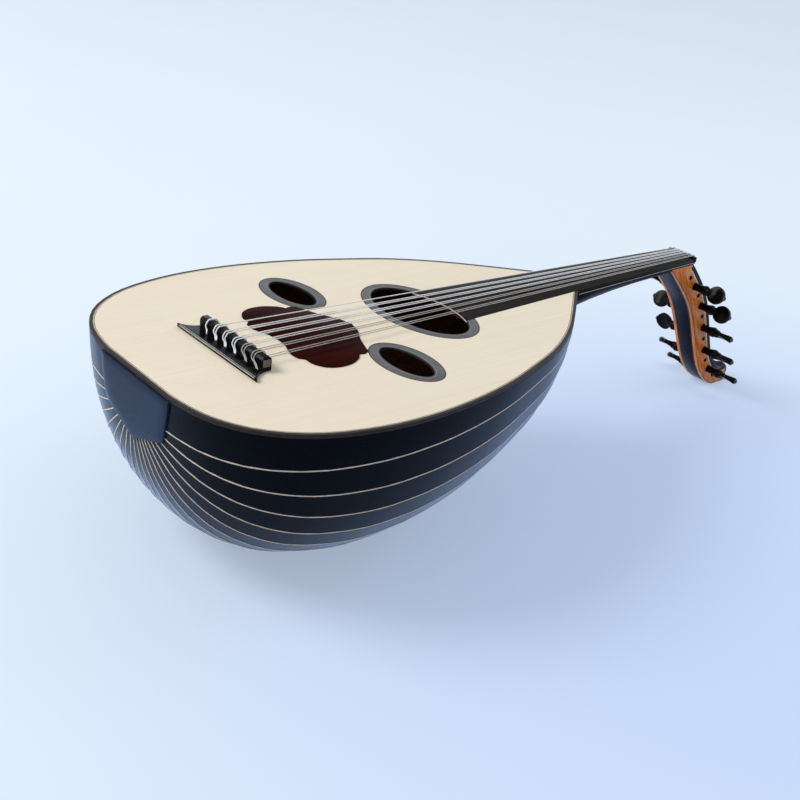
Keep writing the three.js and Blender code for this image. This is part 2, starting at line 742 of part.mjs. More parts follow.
function strip(front, back) {
  const points = [];
  for (let i = 0; i <= PEGBOX_STEPS; i++) points.push(besideSpine(i / PEGBOX_STEPS, front(i / PEGBOX_STEPS)));
  for (let i = PEGBOX_STEPS; i >= 0; i--) points.push(besideSpine(i / PEGBOX_STEPS, back(i / PEGBOX_STEPS)));
  return polygon(points);
}

function aboveNeckTongue() {
  const low = new THREE.Vector3(-HALF_WIDTH, BODY_LENGTH, -TONGUE_THICKNESS - GLUE_GAP);
  const high = new THREE.Vector3(HALF_WIDTH, NUT_Y + PEGBOX_LENGTH, BOWL_DEPTH);
  return toSolid(box(low, high));
}

// What would reach below the height the oud lies at
function belowRest() {
  const low = new THREE.Vector3(-HALF_WIDTH, BODY_LENGTH, -2 * BOWL_DEPTH);
  const high = new THREE.Vector3(HALF_WIDTH, NUT_Y + 2 * PEGBOX_LENGTH, -REST_HEIGHT);
  return toSolid(box(low, high));
}

function makeCheek(name, side) {
  const shape = strip(() => CHEEK_FRONT_DEPTH, backOffset);
  for (let peg = 0; peg < PEG_COUNT; peg++) {
    const place = pegPlace(peg);
    const radius = (pegSide(peg) === side ? SHAFT_RADIUS : SHAFT_TIP_RADIUS) + PEG_GAP;
    const hole = new THREE.Path();
    for (let i = 0; i < PEG_HOLE_SEGMENTS; i++) {
      const turn = (2 * Math.PI * (i + 0.5)) / PEG_HOLE_SEGMENTS;
      const reach = radius / Math.cos(Math.PI / PEG_HOLE_SEGMENTS);
      const y = place.y + reach * Math.cos(turn);
      const z = place.z + reach * Math.sin(turn);
      if (i === 0) hole.moveTo(y, z);
      else hole.lineTo(y, z);
    }
    hole.closePath();
    shape.holes.push(hole);
  }
  let cheek = toSolid(acrossPlate(shape, 0, CHEEK_THICKNESS));
  cheek = cheek.subtract(aboveNeckTongue()).subtract(belowRest());
  const geometry = toGeometry(cheek);
  const positions = geometry.attributes.position;
  for (let i = 0; i < positions.count; i++) {
    const inner = pegboxHalfWidth(positions.getZ(i)) - CHEEK_THICKNESS;
    positions.setX(i, side * (inner + positions.getX(i)));
  }
  if (side < 0) flipFaces(geometry);
  addPiece(name, geometry, 'cheek');
}

function flipFaces(geometry) {
  const index = geometry.index.array;
  for (let i = 0; i < index.length; i += 3) {
    const held = index[i + 1];
    index[i + 1] = index[i + 2];
    index[i + 2] = held;
  }
}

function makePegboxBack() {
  const innerWall = (share) => backOffset(share) + BACK_THICKNESS;
  let back = toSolid(acrossPlate(strip(innerWall, backOffset), -1, 1));
  const toeStart = 1 - TOE_BLOCK_LENGTH / SPINE_LENGTH;
  const toe = [];
  for (let i = 0; i <= TOE_STEPS; i++) {
    toe.push(besideSpine(lerp(toeStart, 1, i / TOE_STEPS), CHEEK_FRONT_DEPTH));
  }
  for (let i = TOE_STEPS; i >= 0; i--) {
    const share = lerp(toeStart, 1, i / TOE_STEPS);
    toe.push(besideSpine(share, innerWall(share) - BACK_THICKNESS / 2));
  }
  back = back.add(toSolid(acrossPlate(polygon(toe), -1, 1)));
  back = back.subtract(aboveNeckTongue()).subtract(belowRest());
  const geometry = toGeometry(back);
  const positions = geometry.attributes.position;
  for (let i = 0; i < positions.count; i++) {
    const inner = pegboxHalfWidth(positions.getZ(i)) - CHEEK_THICKNESS - GLUE_GAP;
    positions.setX(i, inner * positions.getX(i));
  }
  const ball = new THREE.SphereGeometry(FINIAL_RADIUS, FINIAL_SEGMENTS, FINIAL_SEGMENTS - 4);
  const end = besideSpine(1, 0);
  const tangent = spine.getTangentAt(1);
  ball.translate(0, end[0] + tangent.y * FINIAL_OFFSET, end[1] + tangent.z * FINIAL_OFFSET);
  const whole = toSolid(geometry).add(toSolid(ball)).subtract(belowRest());
  addPiece('pegbox_back', toGeometry(whole), 'ebony');
}

// A peg along +X from the outer face of its cheek; the head is on the +X side
function pegGeometry(reach) {
  const tip = -reach - SHAFT_TIP_LENGTH;
  const shoulder = CHEEK_THICKNESS + 2 * GLUE_GAP - reach;
  const headMiddle = SHAFT_LENGTH + HEAD_RADIUS + (COLLAR_RADIUS - SHAFT_RADIUS);
  const headEnd = headMiddle + HEAD_RADIUS;
  const profile = [
    [0, tip],
    [SHAFT_TIP_RADIUS, tip],
    [SHAFT_TIP_RADIUS, shoulder],
    [SHAFT_SHOULDER_RADIUS, shoulder],
    [SHAFT_RADIUS, 0],
    [SHAFT_RADIUS, SHAFT_LENGTH * COLLAR_START_SHARE],
    [COLLAR_RADIUS, SHAFT_LENGTH * COLLAR_PLACE_SHARE],
    [COLLAR_RADIUS * COLLAR_END_SHARE, SHAFT_LENGTH],
    [HEAD_WAIST_THICKNESS / 2, headMiddle],
    [PIP_RADIUS * PIP_NECK_SHARE, headEnd - PIP_RADIUS / 2],
    [PIP_RADIUS, headEnd + PIP_RADIUS / 2],
    [PIP_RADIUS / 2, headEnd + PIP_RADIUS],
    [0, headEnd + PIP_RADIUS],
  ].map(([radius, along]) => new THREE.Vector2(radius, along));
  const turned = new THREE.LatheGeometry(profile, PEG_SEGMENTS);
  turned.rotateZ(-Math.PI / 2);
  const face = new THREE.Shape();
  face.absellipse(headMiddle, 0, HEAD_RADIUS, HEAD_RADIUS, 0, 2 * Math.PI, false, 0);
  const paddle = slab(face, -1, 2, PEG_FACE_SEGMENTS / 2);
  const positions = paddle.attributes.position;
  for (let i = 0; i < positions.count; i++) {
    const along = (positions.getX(i) - headMiddle) / HEAD_RADIUS;
    const thickness = HEAD_WAIST_THICKNESS + (HEAD_THICKNESS - HEAD_WAIST_THICKNESS) * along ** 2;
    positions.setZ(i, (positions.getZ(i) * thickness) / 2);
  }
  return toGeometry(toSolid(turned).add(toSolid(paddle)));
}

// How far each peg is turned, as shares of a full turn
const PEG_TURN_SHARES = [0.07, 0.17, 0.065, 0.18, 0.33, 0.42, 0.22, 0.41, 0.07, 0.42, 0.07];

function makePegs() {
  for (let peg = 0; peg < PEG_COUNT; peg++) {
    const place = pegPlace(peg);
    const outer = pegboxHalfWidth(place.z);
    const side = pegSide(peg);
    const turn = PEG_TURN_SHARES[peg] * 2 * Math.PI;
    addPiece(
      `peg_${String(peg + 1).padStart(2, '0')}`,
      pegGeometry(2 * outer),
      'ebony',
      new THREE.Vector3(side * outer, place.y, place.z),
      new THREE.Euler(turn, 0, side < 0 ? Math.PI : 0, 'ZYX'),
    );
  }
}

// A curve that steps from point to point, so that each point gets one ring of the tube
class PointCurve extends THREE.Curve {
  constructor(points) {
    super();
    this.points = points;
  }

  getPoint(share) {
    const place = share * (this.points.length - 1);
    const before = Math.min(Math.floor(place), this.points.length - 2);
    return new THREE.Vector3().lerpVectors(this.points[before], this.points[before + 1], place - before);
  }

  getPointAt(share) {
    return this.getPoint(share);
  }

  getTangentAt(share) {
    const last = this.points.length - 1;
    const place = Math.round(share * last);
    const before = this.points[Math.max(0, place - 1)];
    const after = this.points[Math.min(last, place + 1)];
    return new THREE.Vector3().subVectors(after, before).normalize();
  }
}

function tube(points, radius, sides) {
  const section = new THREE.Shape();
  for (let i = 0; i < sides; i++) {
    const turn = (2 * Math.PI * i) / sides;
    const x = radius * Math.cos(turn);
    const y = radius * Math.sin(turn);
    if (i === 0) section.moveTo(x, y);
    else section.lineTo(x, y);
  }
  section.closePath();
  return new THREE.ExtrudeGeometry(section, {
    steps: points.length - 1,
    extrudePath: new PointCurve(points),
    bevelEnabled: false,
  });
}

// The bass strings go to the pegs of the bass side and the treble ones to the others,
// the outermost string of each side to the highest peg of that side
function pegOfString(string) {
  const bassPegs = Math.ceil(PEG_COUNT / 2);
  return string < bassPegs ? 2 * string : 2 * (PEG_COUNT - 1 - string) + 1;
}

// Half the room between the cheeks at a place down the pegbox
function laneRoom(z) {
  return pegboxHalfWidth(z) - CHEEK_THICKNESS - GLUE_GAP - LANE_GAP;
}

function bridgeLoop(x, lay) {
  const top = BLOCK_HEIGHT + lay;
  const shoulder = BLOCK_HEIGHT - BLOCK_CHAMFER_WIDTH;
  return [
    new THREE.Vector3(x, BRIDGE_FROM_TAIL_LENGTH + lay, shoulder - lay),
    new THREE.Vector3(x, BRIDGE_FROM_TAIL_LENGTH + lay, shoulder + lay / 2),
    new THREE.Vector3(x, BRIDGE_FROM_TAIL_LENGTH - BLOCK_CHAMFER_WIDTH + lay / 2, top),
    new THREE.Vector3(x, BLOCK_BACK_Y + BLOCK_CHAMFER_WIDTH - lay / 2, top),
    new THREE.Vector3(x, BLOCK_BACK_Y - lay, shoulder + lay / 2),
    new THREE.Vector3(x, BLOCK_BACK_Y - 2 * lay, STRING_HOLE_HEIGHT + 2 * lay),
    new THREE.Vector3(x, BLOCK_BACK_Y - lay, STRING_HOLE_HEIGHT),
    new THREE.Vector3(x, BRIDGE_FROM_TAIL_LENGTH, STRING_HOLE_HEIGHT),
  ];
}

function overNut(x, laneX, lay) {
  const end = NUT_Y + NUT_WIDTH;
  return [
    new THREE.Vector3(x, NUT_Y, NUT_HEIGHT + lay),
    new THREE.Vector3(x, end - lay / 2, NUT_HEIGHT + lay),
    new THREE.Vector3(x, end + lay, NUT_HEIGHT / 2),
    new THREE.Vector3(lerp(x, laneX, LANE_BEND_SHARE), end + lay, -FINGERBOARD_THICKNESS),
  ];
}

// From the string's lane in front of the pegs it goes round its own peg's shaft
function stringPoints(string, radius) {
  const lay = radius + LAY_GAP;
  const lane = (2 * string) / (BRIDGE_LANES.length - 1) - 1;
  const firstLaneX = lane * laneRoom(-FINGERBOARD_THICKNESS);
  const points = [...bridgeLoop(BRIDGE_LANES[string], lay), ...overNut(NUT_LANES[string], firstLaneX, lay)];
  const peg = pegOfString(string);
  for (let passed = 0; passed < peg; passed++) {
    const [y, z] = besideSpine(pegShare(passed), SHAFT_RADIUS + LANE_HEIGHT);
    points.push(new THREE.Vector3(lane * laneRoom(z), y, z));
  }
  const place = pegPlace(peg);
  const tangent = spine.getTangentAt(pegShare(peg));
  const start = Math.atan2(tangent.y, -tangent.z);
  const wrapRadius = SHAFT_RADIUS + PEG_GAP + radius;
  const pitch = 2 * radius + WRAP_GAP;
  const wraps = [];
  for (let i = 0; i <= WRAP_TURNS * WRAP_STEPS; i++) {
    const turn = start - (2 * Math.PI * i) / WRAP_STEPS;
    wraps.push(new THREE.Vector3(
      lane * laneRoom(place.z) - (Math.sign(lane) || 1) * ((pitch * i) / WRAP_STEPS),
      place.y + wrapRadius * Math.cos(turn),
      place.z + wrapRadius * Math.sin(turn),
    ));
  }
  leastWrapGap = Math.min(leastWrapGap, gapBetweenTurns(wraps, radius));
  return [...points, ...wraps];
}

let leastWrapGap = Infinity;

function gapBetweenTurns(wraps, radius) {
  let least = Infinity;
  for (let i = 0; i < wraps.length; i++) {
    for (let j = i + WRAP_STEPS / 2; j < wraps.length; j++) {
      least = Math.min(least, wraps[i].distanceTo(wraps[j]) - 2 * radius);
    }
  }
  return least;
}

function makeStrings() {
  for (let string = 0; string < BRIDGE_LANES.length; string++) {
    const share = string / (BRIDGE_LANES.length - 1);
    const radius = lerp(BASS_DIAMETER, TREBLE_DIAMETER, share) / 2;
    const wood = string < WOUND_COUNT ? 'wound' : 'nylon';
    const points = stringPoints(string, radius);
    addPiece(`string_${String(string + 1).padStart(2, '0')}`, tube(points, radius, STRING_SIDES), wood);
  }
  console.log(`least gap between a string's turns round its peg: ${leastWrapGap.toFixed(2)} mm`);
}

// The block that the neck is fixed to, fitted inside the ribs
function makeNeckBlock() {
  const shares = [];
  const inset = RIB_THICKNESS + GLUE_GAP;
  const first = shareAtLength(BODY_LENGTH - NECK_BLOCK_LENGTH);
  for (let i = 0; i <= BLOCK_STATIONS; i++) shares.push(lerp(first, 1, i / BLOCK_STATIONS));
  const rings = shares.map((share) => {
    const top = BOARD_THICKNESS + GLUE_GAP;
    const ring = [];
    for (let line = 0; line <= RIB_COUNT; line++) {
      const turn = line === 0 ? 0 : line === RIB_COUNT ? Math.PI : lineTurn(share, line);
      const p = bowlPoint(share, turn, inset);
      const y = Math.min(p.y, BODY_LENGTH);
      ring.push(new THREE.Vector3(p.x * BLOCK_FIT_SHARE, y, Math.min(p.z * BLOCK_FIT_SHARE, -top)));
    }
    return ring;
  });
  addPiece('neck_block', loft(rings), 'block');
}

function makeTailBlock() {
  const shape = new THREE.Shape();
  shape.absarc(0, 0, TAIL_BLOCK_RADIUS, Math.PI, 2 * Math.PI, false);
  const block = slab(shape, 0, TAIL_BLOCK_LENGTH);
  block.rotateX(Math.PI / 2);
  block.translate(0, RIB_THICKNESS + TAIL_BLOCK_GAP + TAIL_BLOCK_LENGTH, -BOARD_THICKNESS - GLUE_GAP);
  addPiece('tail_block', block, 'block');
}

// Cross bars under the soundboard, at shares of the body's length
const BAR_SHARES = [0.1, 0.225, 0.355, 0.51, 0.715, 0.83];

function makeBars() {
  const top = -BOARD_THICKNESS - LAY_GAP;
  const barHalfLength = (y) => outlineAt(shareAtLength(y)).across - BINDING_WIDTH - 2 * RIB_THICKNESS;
  let bars = null;
  const join = (geometry) => {
    const solid = toSolid(geometry);
    bars = bars ? bars.add(solid) : solid;
  };
  BAR_SHARES.forEach((share) => {
    const y = share * BODY_LENGTH;
    const half = barHalfLength(y);
    const section = polygon([
      [-half, top],
      [-half + BAR_DEPTH, top - BAR_DEPTH],
      [half - BAR_DEPTH, top - BAR_DEPTH],
      [half, top],
    ]);
    const bar = slab(section, -BAR_WIDTH / 2, BAR_WIDTH);
    bar.rotateX(Math.PI / 2);
    bar.translate(0, y, 0);
    join(bar);
  });
  const first = BAR_SHARES[0] * BODY_LENGTH;
  const beforeHole = BAR_SHARES[3] * BODY_LENGTH;
  const afterHole = BAR_SHARES[4] * BODY_LENGTH;
  const last = BAR_SHARES[5] * BODY_LENGTH;
  const halfStrip = SEAM_STRIP_WIDTH / 2;
  const bottom = top - SEAM_STRIP_THICKNESS;
  join(box(new THREE.Vector3(-halfStrip, first, bottom), new THREE.Vector3(halfStrip, beforeHole, top)));
  join(box(new THREE.Vector3(-halfStrip, afterHole, bottom), new THREE.Vector3(halfStrip, last, top)));
  [-1, 1].forEach((side) => {
    const x = side * (BIG_RING_HALF_LENGTH + BAR_WIDTH);
    join(box(
      new THREE.Vector3(x - BAR_WIDTH / 2, beforeHole, top - BAR_DEPTH / 2),
      new THREE.Vector3(x + BAR_WIDTH / 2, afterHole, top),
    ));
  });
  addPiece('soundboard_bars', toGeometry(bars), 'block');
}

// How far the bowl's outer face lies from the tail, over a place on the tail's face
function tailFaceY(x, z) {
  const power = 2 / SECTION_FULLNESS_SHARE;
  const halfWidth = (Math.abs(x) ** power + (Math.abs(z) / DEPTH_SHARE) ** power) ** (1 / power);
  return outlineAt(shareOfHalfWidth(halfWidth)).along;
}

function claspDrop(x) {
  const across = Math.abs(x) / CLASP_CORNER_HALF_WIDTH;
  if (across >= 1) {
    return lerp(CLASP_CORNER_DROP, RIB_TOP * 2, (Math.abs(x) - CLASP_CORNER_HALF_WIDTH)
      / (CLASP_HALF_WIDTH - CLASP_CORNER_HALF_WIDTH));
  }
  return lerp(CLASP_DROP, CLASP_CORNER_DROP, across ** CLASP_CURVE_SHARE);
}

function makeClasp() {
  const columns = [];
  for (let i = 0; i <= CLASP_COLUMNS; i++) {
    const side = (2 * i) / CLASP_COLUMNS - 1;
    const x = side * CLASP_HALF_WIDTH;
    const bottom = claspDrop(x);
    const column = [];
    for (let j = 0; j <= CLASP_ROWS; j++) {
      const z = -lerp(RIB_TOP, bottom, j / CLASP_ROWS);
      column.push(new THREE.Vector3(x, tailFaceY(x, z) - GLUE_GAP, z));
    }
    const outer = column.map((p) => new THREE.Vector3(p.x, p.y - CLASP_THICKNESS, p.z)).reverse();
    columns.push([...column, ...outer]);
  }
  addPiece('end_clasp', stripLoft(columns.reverse()), 'bowl');
}

// A loft whose rings are thin strips folded back on themselves, capped strip by strip
function stripLoft(rings) {
  const geometry = loft(rings);
  const count = rings[0].length;
  const sides = (rings.length - 1) * count * 6;
  const index = Array.from(geometry.index.array).slice(0, sides);
  const cap = (base, forward) => {
    for (let j = 0; j < count / 2 - 1; j++) {
      const a = base + j;
      const b = base + j + 1;
      const c = base + count - 2 - j;
      const d = base + count - 1 - j;
      if (forward) index.push(a, b, c, a, c, d);
      else index.push(a, c, b, a, d, c);
    }
  };
  cap(0, false);
  cap((rings.length - 1) * count, true);
  geometry.setIndex(index);
  return geometry;
}

makeRibs();
makeSoundboard();
makeBinding();
makeRings();
makePickguard();
makeBridge();
makeFingerboard();
makeNeck();
makeNut();
makeCheek('pegbox_cheek_treble', 1);
makeCheek('pegbox_cheek_bass', -1);
makePegboxBack();
makePegs();
makeStrings();
makeNeckBlock();
makeTailBlock();
makeBars();
makeClasp();

oud.position.set(0, -REST_Y, REST_HEIGHT);

export default oud;
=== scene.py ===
"""Finishes the parts of an oud, adds its fine trim and strings, and sets it on a pale floor."""

import json
import math

import bmesh
import bpy
from mathutils import Matrix, Vector
from mathutils.bvhtree import BVHTree


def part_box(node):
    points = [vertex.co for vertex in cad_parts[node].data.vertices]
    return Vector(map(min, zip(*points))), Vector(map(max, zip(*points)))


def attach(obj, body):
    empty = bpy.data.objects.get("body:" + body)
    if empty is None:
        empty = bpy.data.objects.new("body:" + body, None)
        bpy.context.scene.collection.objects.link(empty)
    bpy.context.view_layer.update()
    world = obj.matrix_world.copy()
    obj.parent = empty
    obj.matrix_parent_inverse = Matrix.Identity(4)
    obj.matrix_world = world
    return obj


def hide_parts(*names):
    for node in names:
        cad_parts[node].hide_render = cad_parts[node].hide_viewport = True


bl_info = {
    "name": "Oud",
    "version": (1, 0, 0),
    "blender": (4, 5, 0),
    "location": "3D View > Sidebar > Oud",
    "description": "Finishes the parts of an oud and sets it on a pale floor",
    "category": "Object",
}

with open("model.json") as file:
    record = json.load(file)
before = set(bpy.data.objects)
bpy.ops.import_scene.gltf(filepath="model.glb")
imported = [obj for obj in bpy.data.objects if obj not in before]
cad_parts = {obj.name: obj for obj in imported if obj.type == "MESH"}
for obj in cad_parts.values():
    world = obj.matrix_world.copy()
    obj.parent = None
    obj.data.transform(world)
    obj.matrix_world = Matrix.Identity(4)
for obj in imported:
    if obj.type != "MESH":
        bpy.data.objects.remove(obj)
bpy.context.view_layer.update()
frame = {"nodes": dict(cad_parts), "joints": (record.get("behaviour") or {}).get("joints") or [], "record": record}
NODES = frame["nodes"]
JOINTS = frame["joints"]
BODY = "instrument"


def nodes_named(start):
    """The names of the parts that begin with a word, in order."""
    return sorted(name for name in NODES if name.startswith(start))


RIBS = nodes_named("bowl_rib_")
PEGS = nodes_named("peg_")
STRINGS = nodes_named("string_")
RINGS = ("soundhole_ring_treble", "soundhole_ring_bass", "soundhole_ring_middle")
CHEEKS = ("pegbox_cheek_treble", "pegbox_cheek_bass")

MILLIMETRE = 0.001
UP = Vector((0, 0, 1))
DOWN = Vector((0, 0, -1))
BOARD_LOW, BOARD_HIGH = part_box("soundboard")
BOARD_TOP = BOARD_HIGH.z
BOWL_MIDDLE_DROP = 0.03
BOWL_MIDDLE = Vector((0.0, (BOARD_LOW.y + BOARD_HIGH.y) / 2, BOARD_TOP - BOWL_MIDDLE_DROP))


# Sizes and colours that the user can change


def length(name, description, default):
    """A length in metres."""
    return bpy.props.FloatProperty(
        name=name, description=description, default=default, min=0.0001, max=0.1,
        subtype="DISTANCE", unit="LENGTH", precision=5,
    )


def colour(name, description, default):
    """A colour."""
    return bpy.props.FloatVectorProperty(
        name=name, description=description, default=default, size=3, min=0, max=1, subtype="COLOR",
    )


def share(name, description, default):
    """A share from 0 to 1."""
    return bpy.props.FloatProperty(
        name=name, description=description, default=default, min=0, max=1, subtype="FACTOR",
    )


def count(name, description, default, low, high):
    """A whole number."""
    return bpy.props.IntProperty(name=name, description=description, default=default, min=low, max=high)


class OudBowlSettings(bpy.types.PropertyGroup):
    lacquer: colour("Lacquer", "Colour of the lacquered ribs", (0.0008, 0.0013, 0.0032))
    # The clasp's dark lacquer, lifted to a blue-grey that is a painted reflection of the pale floor
    clasp_painted_reflection: colour("Clasp", "Colour of the lacquered clasp at the tail", (0.012, 0.019, 0.042))
    # Bare wood inside the bowl: its own brown, made darker as painted shade where it shows through the soundholes
    inside: colour("Inside", "Bare wood on the inside of the ribs", (0.14, 0.062, 0.03))
    gloss: share("Roughness", "How matt the lacquer is", 0.18)
    haze: share("Haze", "Strength of the blue haze on the lacquer at low angles", 1.0)
    line: colour("Rib line", "Colour of the thin strips between the ribs", (0.66, 0.54, 0.43))
    line_width: length("Rib line width", "Width of the strips between the ribs", 0.00105)
    line_height: length("Rib line height", "How far the strips stand out of the ribs", 0.00022)


class OudBoardSettings(bpy.types.PropertyGroup):
    spruce: colour("Spruce", "Colour of the soundboard", (0.82, 0.73, 0.585))
    grain: length("Grain spacing", "Distance between the soundboard's grain lines", 0.0013)
    binding: colour("Binding", "Colour of the board's edge binding", (0.026, 0.018, 0.016))
    dark_line: colour("Dark line", "Colour of the dark lines inside the binding", (0.02, 0.017, 0.016))
    light_line: colour("Light line", "Colour of the light line inside the binding", (0.55, 0.45, 0.32))
    ring: colour("Ring", "Colour of the soundhole rings", (0.07, 0.068, 0.074))
    ring_line: colour("Ring line", "Colour of the fine lines in the rings", (0.2, 0.195, 0.19))
    guard: colour("Pickguard", "Colour of the pickguard", (0.019, 0.0028, 0.0018))


class OudBridgeSettings(bpy.types.PropertyGroup):
    wood: colour("Bridge wood", "Colour of the bridge and the nut", (0.002, 0.002, 0.0024))
    inlay: colour("End grain", "Colour of the bare squares at the bridge's ends", (0.13, 0.11, 0.11))
    edge: colour("Edge line", "Colour of the line along the bridge's tail edge", (0.4, 0.42, 0.4))


class OudNeckSettings(bpy.types.PropertyGroup):
    lacquer: colour("Neck", "Colour of the lacquered neck", (0.004, 0.004, 0.006))
    fingerboard: colour("Fingerboard", "Colour of the fingerboard", (0.014, 0.011, 0.01))
    line: colour("Neck line", "Colour of the line along the neck's sides", (0.5, 0.45, 0.4))
    haze: share("Haze", "Strength of the blue haze on the lacquer at low angles", 0.2)
    line_drop: length("Neck line depth", "Height of the soundboard above the neck's line", 0.0049)
    line_width: length("Neck line width", "Width of the line along the neck's sides", 0.0008)


class OudPegboxSettings(bpy.types.PropertyGroup):
    cheek: colour("Cheek", "Colour of the pegbox's sides", (0.74, 0.2, 0.03))
    cap: colour("Cap", "Colour of the dark strip along the sides' front edge", (0.005, 0.0045, 0.0045))
    back: colour("Back", "Colour of the pegbox's lacquered back", (0.003, 0.004, 0.011))
    line: colour("Front line", "Colour of the light line along the sides' front edge", (0.8, 0.66, 0.52))
    back_line: colour("Back line", "Colour of the dark lines where the back meets the sides", (0.1, 0.022, 0.014))
    haze: share("Haze", "Strength of the blue haze on the lacquer at low angles", 0.4)
    cap_width: length("Cap width", "Width of the dark strip along the front edge", 0.0046)
    line_width: length("Front line width", "Width of the light line along the front edge", 0.0016)


class OudPegSettings(bpy.types.PropertyGroup):
    wood: colour("Peg wood", "Colour of the pegs", (0.002, 0.002, 0.0024))
    pip: colour("Pip", "Colour of the small ring at the end of a peg's head", (0.06, 0.06, 0.06))
    sides: count("Sides", "Sides of a turned peg", 40, 12, 96)


class OudStringSettings(bpy.types.PropertyGroup):
    wound: colour("Wound string", "Colour of the wound strings", (0.95, 0.95, 0.97))
    plain: colour("Plain string", "Colour of the plain strings", (0.52, 0.49, 0.46))
    bass_width: length("Bass diameter", "Diameter of the thickest string", 0.0011)
    treble_width: length("Treble diameter", "Diameter of the thinnest string", 0.0007)
    wrap_gap: length("Wrap gap", "Gap between a string's turns round its peg", 0.0005)
    turns: count("Turns", "Turns of a string round its peg", 2, 1, 4)
    steps: count("Steps", "Steps in each turn round a peg", 32, 24, 64)


class OudStageSettings(bpy.types.PropertyGroup):
    floor: colour("Floor", "Colour of the floor", (0.77, 0.86, 0.98))
    pale: colour("Pale", "Colour that the floor is lifted towards where it is seen", (0.82, 0.92, 1.0))
    # Painted shadow: a bluer, darker floor colour laid beside the bowl, away from the lamp
    shade: colour("Shade", "Colour of the floor beside the bowl, away from the lamp", (0.6, 0.73, 1.0))
    pale_share: share("Pale share", "How far the floor is lifted towards its pale colour", 0.5)
    mirror_share: share("Mirrored share", "How far the floor is lifted where gloss shows it", 0.85)
    sky: share("Sky", "Strength of the even light from all round", 0.5)
    lamp: bpy.props.FloatProperty(
        name="Lamp", description="Power of the large soft lamp", default=170, min=0, max=1000, unit="POWER",
    )
    lens: bpy.props.FloatProperty(
        name="Lens", description="Focal length of the camera in millimetres", default=54.497, min=10, max=300,
    )


SETTINGS = {
    "oud_bowl": OudBowlSettings,
    "oud_board": OudBoardSettings,
    "oud_bridge": OudBridgeSettings,
    "oud_neck": OudNeckSettings,
    "oud_pegbox": OudPegboxSettings,
    "oud_pegs": OudPegSettings,
    "oud_strings": OudStringSettings,
    "oud_stage": OudStageSettings,
}


# Shader nodes and the node groups that the materials share

COLOUR_MIX_INPUTS = (0, 6, 7)
COLOUR_MIX_OUTPUT = 2


class Builder:
    """Adds nodes to a tree and joins them."""

    def __init__(self, tree):
        self.tree = tree

    def put(self, node, key, value):
        """Sets an input to a value, or joins it to another node's output."""
        if isinstance(value, bpy.types.NodeSocket):
            self.tree.links.new(value, node.inputs[key])
        else:
            node.inputs[key].default_value = value

    def add(self, kind, *values, options=None, **inputs):
        """A new node: the values fill its first inputs in order, and the others go by name."""
        node = self.tree.nodes.new(kind)
        for key, value in (options or {}).items():
            setattr(node, key, value)
        for key, value in enumerate(values):
            self.put(node, key, value)
        for key, value in inputs.items():
            self.put(node, key.replace("_", " "), value)
        return node

    def maths(self, operation, *values, clamp=False):
        return self.add("ShaderNodeMath", *values, options={"operation": operation, "use_clamp": clamp}).outputs[0]

    def vector(self, operation, *values, output=0, **inputs):
        node = self.add("ShaderNodeVectorMath", *values, options={"operation": operation}, **inputs)
        return node.outputs[output]

    def mapped(self, vector, turn=(0.0, 0.0, 0.0), scale=(1.0, 1.0, 1.0)):
        return self.add("ShaderNodeMapping", Vector=vector, Rotation=turn, Scale=scale).outputs[0]

    def noise(self, vector, scale, detail, roughness=0.5):
        node = self.add("ShaderNodeTexNoise", Vector=vector, Scale=scale, Detail=detail, Roughness=roughness)
        return node.outputs["Fac"]

    def remap(self, value, low, high, out_low=0.0, out_high=1.0):
        """The value eased from one range to another."""
        node = self.add(
            "ShaderNodeMapRange", value, low, high, out_low, out_high, options={"interpolation_type": "SMOOTHSTEP"},
        )
        return node.outputs["Result"]

    def mix(self, factor, first, second):
        """A mix of two colours."""
        node = self.add("ShaderNodeMix", options={"data_type": "RGBA"})
        for key, value in zip(COLOUR_MIX_INPUTS, (factor, first, second)):
            self.put(node, key, value)
        return node.outputs[COLOUR_MIX_OUTPUT]

    def raised(self, value, mask, by):
        """The value raised by an amount where the mask is high."""
        return self.maths("MULTIPLY_ADD", mask, by, value)

    def tint(self, tone, towards, mask, strength):
        """The tone moved towards a colour where the mask is high."""
        return self.mix(self.maths("MULTIPLY", mask, strength), tone, towards)

    def mix_shaders(self, factor, first, second):
        return self.add("ShaderNodeMixShader", factor, first, second).outputs[0]

    def group(self, name, vector, **inputs):
        """The outputs of a shader node group, which is built the first time it is used."""
        tree = bpy.data.node_groups.get(name) or build_group(name)
        return self.add("ShaderNodeGroup", options={"node_tree": tree}, Vector=vector, **inputs).outputs


def draw_fibres(b, given):
    """Long wood fibres along the second axis of the vector: fine lines, slow figure and pores."""
    parts = b.add("ShaderNodeSeparateXYZ", given["Vector"]).outputs
    lengthwise = b.maths("MULTIPLY", parts["Y"], given["Stretch"])
    flat = b.add("ShaderNodeCombineXYZ", parts["X"], lengthwise, parts["Z"]).outputs[0]
    scaled = b.vector("SCALE", flat, Scale=given["Lines"])
    pushed = b.maths("MULTIPLY", b.noise(scaled, scale=0.05, detail=2.0), given["Wander"])
    shifted = b.vector("ADD", scaled, b.add("ShaderNodeCombineXYZ", X=pushed, Z=pushed).outputs[0])
    lines = b.noise(shifted, scale=1.0, detail=3.0, roughness=0.6)
    figure = b.noise(shifted, scale=0.035, detail=3.0, roughness=0.55)
    pores = b.noise(shifted, scale=1.9, detail=2.0, roughness=0.7)
    return b.remap(lines, 0.35, 0.68), b.remap(figure, 0.3, 0.7), b.remap(pores, 0.6, 0.74)


def draw_marks(b, given):
    """Rubbed patches, faint scratches and specks of dust from use."""
    turned = b.mapped(given["Vector"], turn=(0.3, 0.5, 0.7), scale=(1.0, 0.06, 1.0))
    rub = b.noise(given["Vector"], given["Patches"], detail=5.0, roughness=0.6)
    scratch = b.noise(turned, given["Scratches"], detail=1.0)
    dust = b.noise(given["Vector"], scale=1400.0, detail=1.0)
    return b.remap(rub, 0.38, 0.68), b.remap(scratch, 0.66, 0.72), b.remap(dust, 0.66, 0.78)


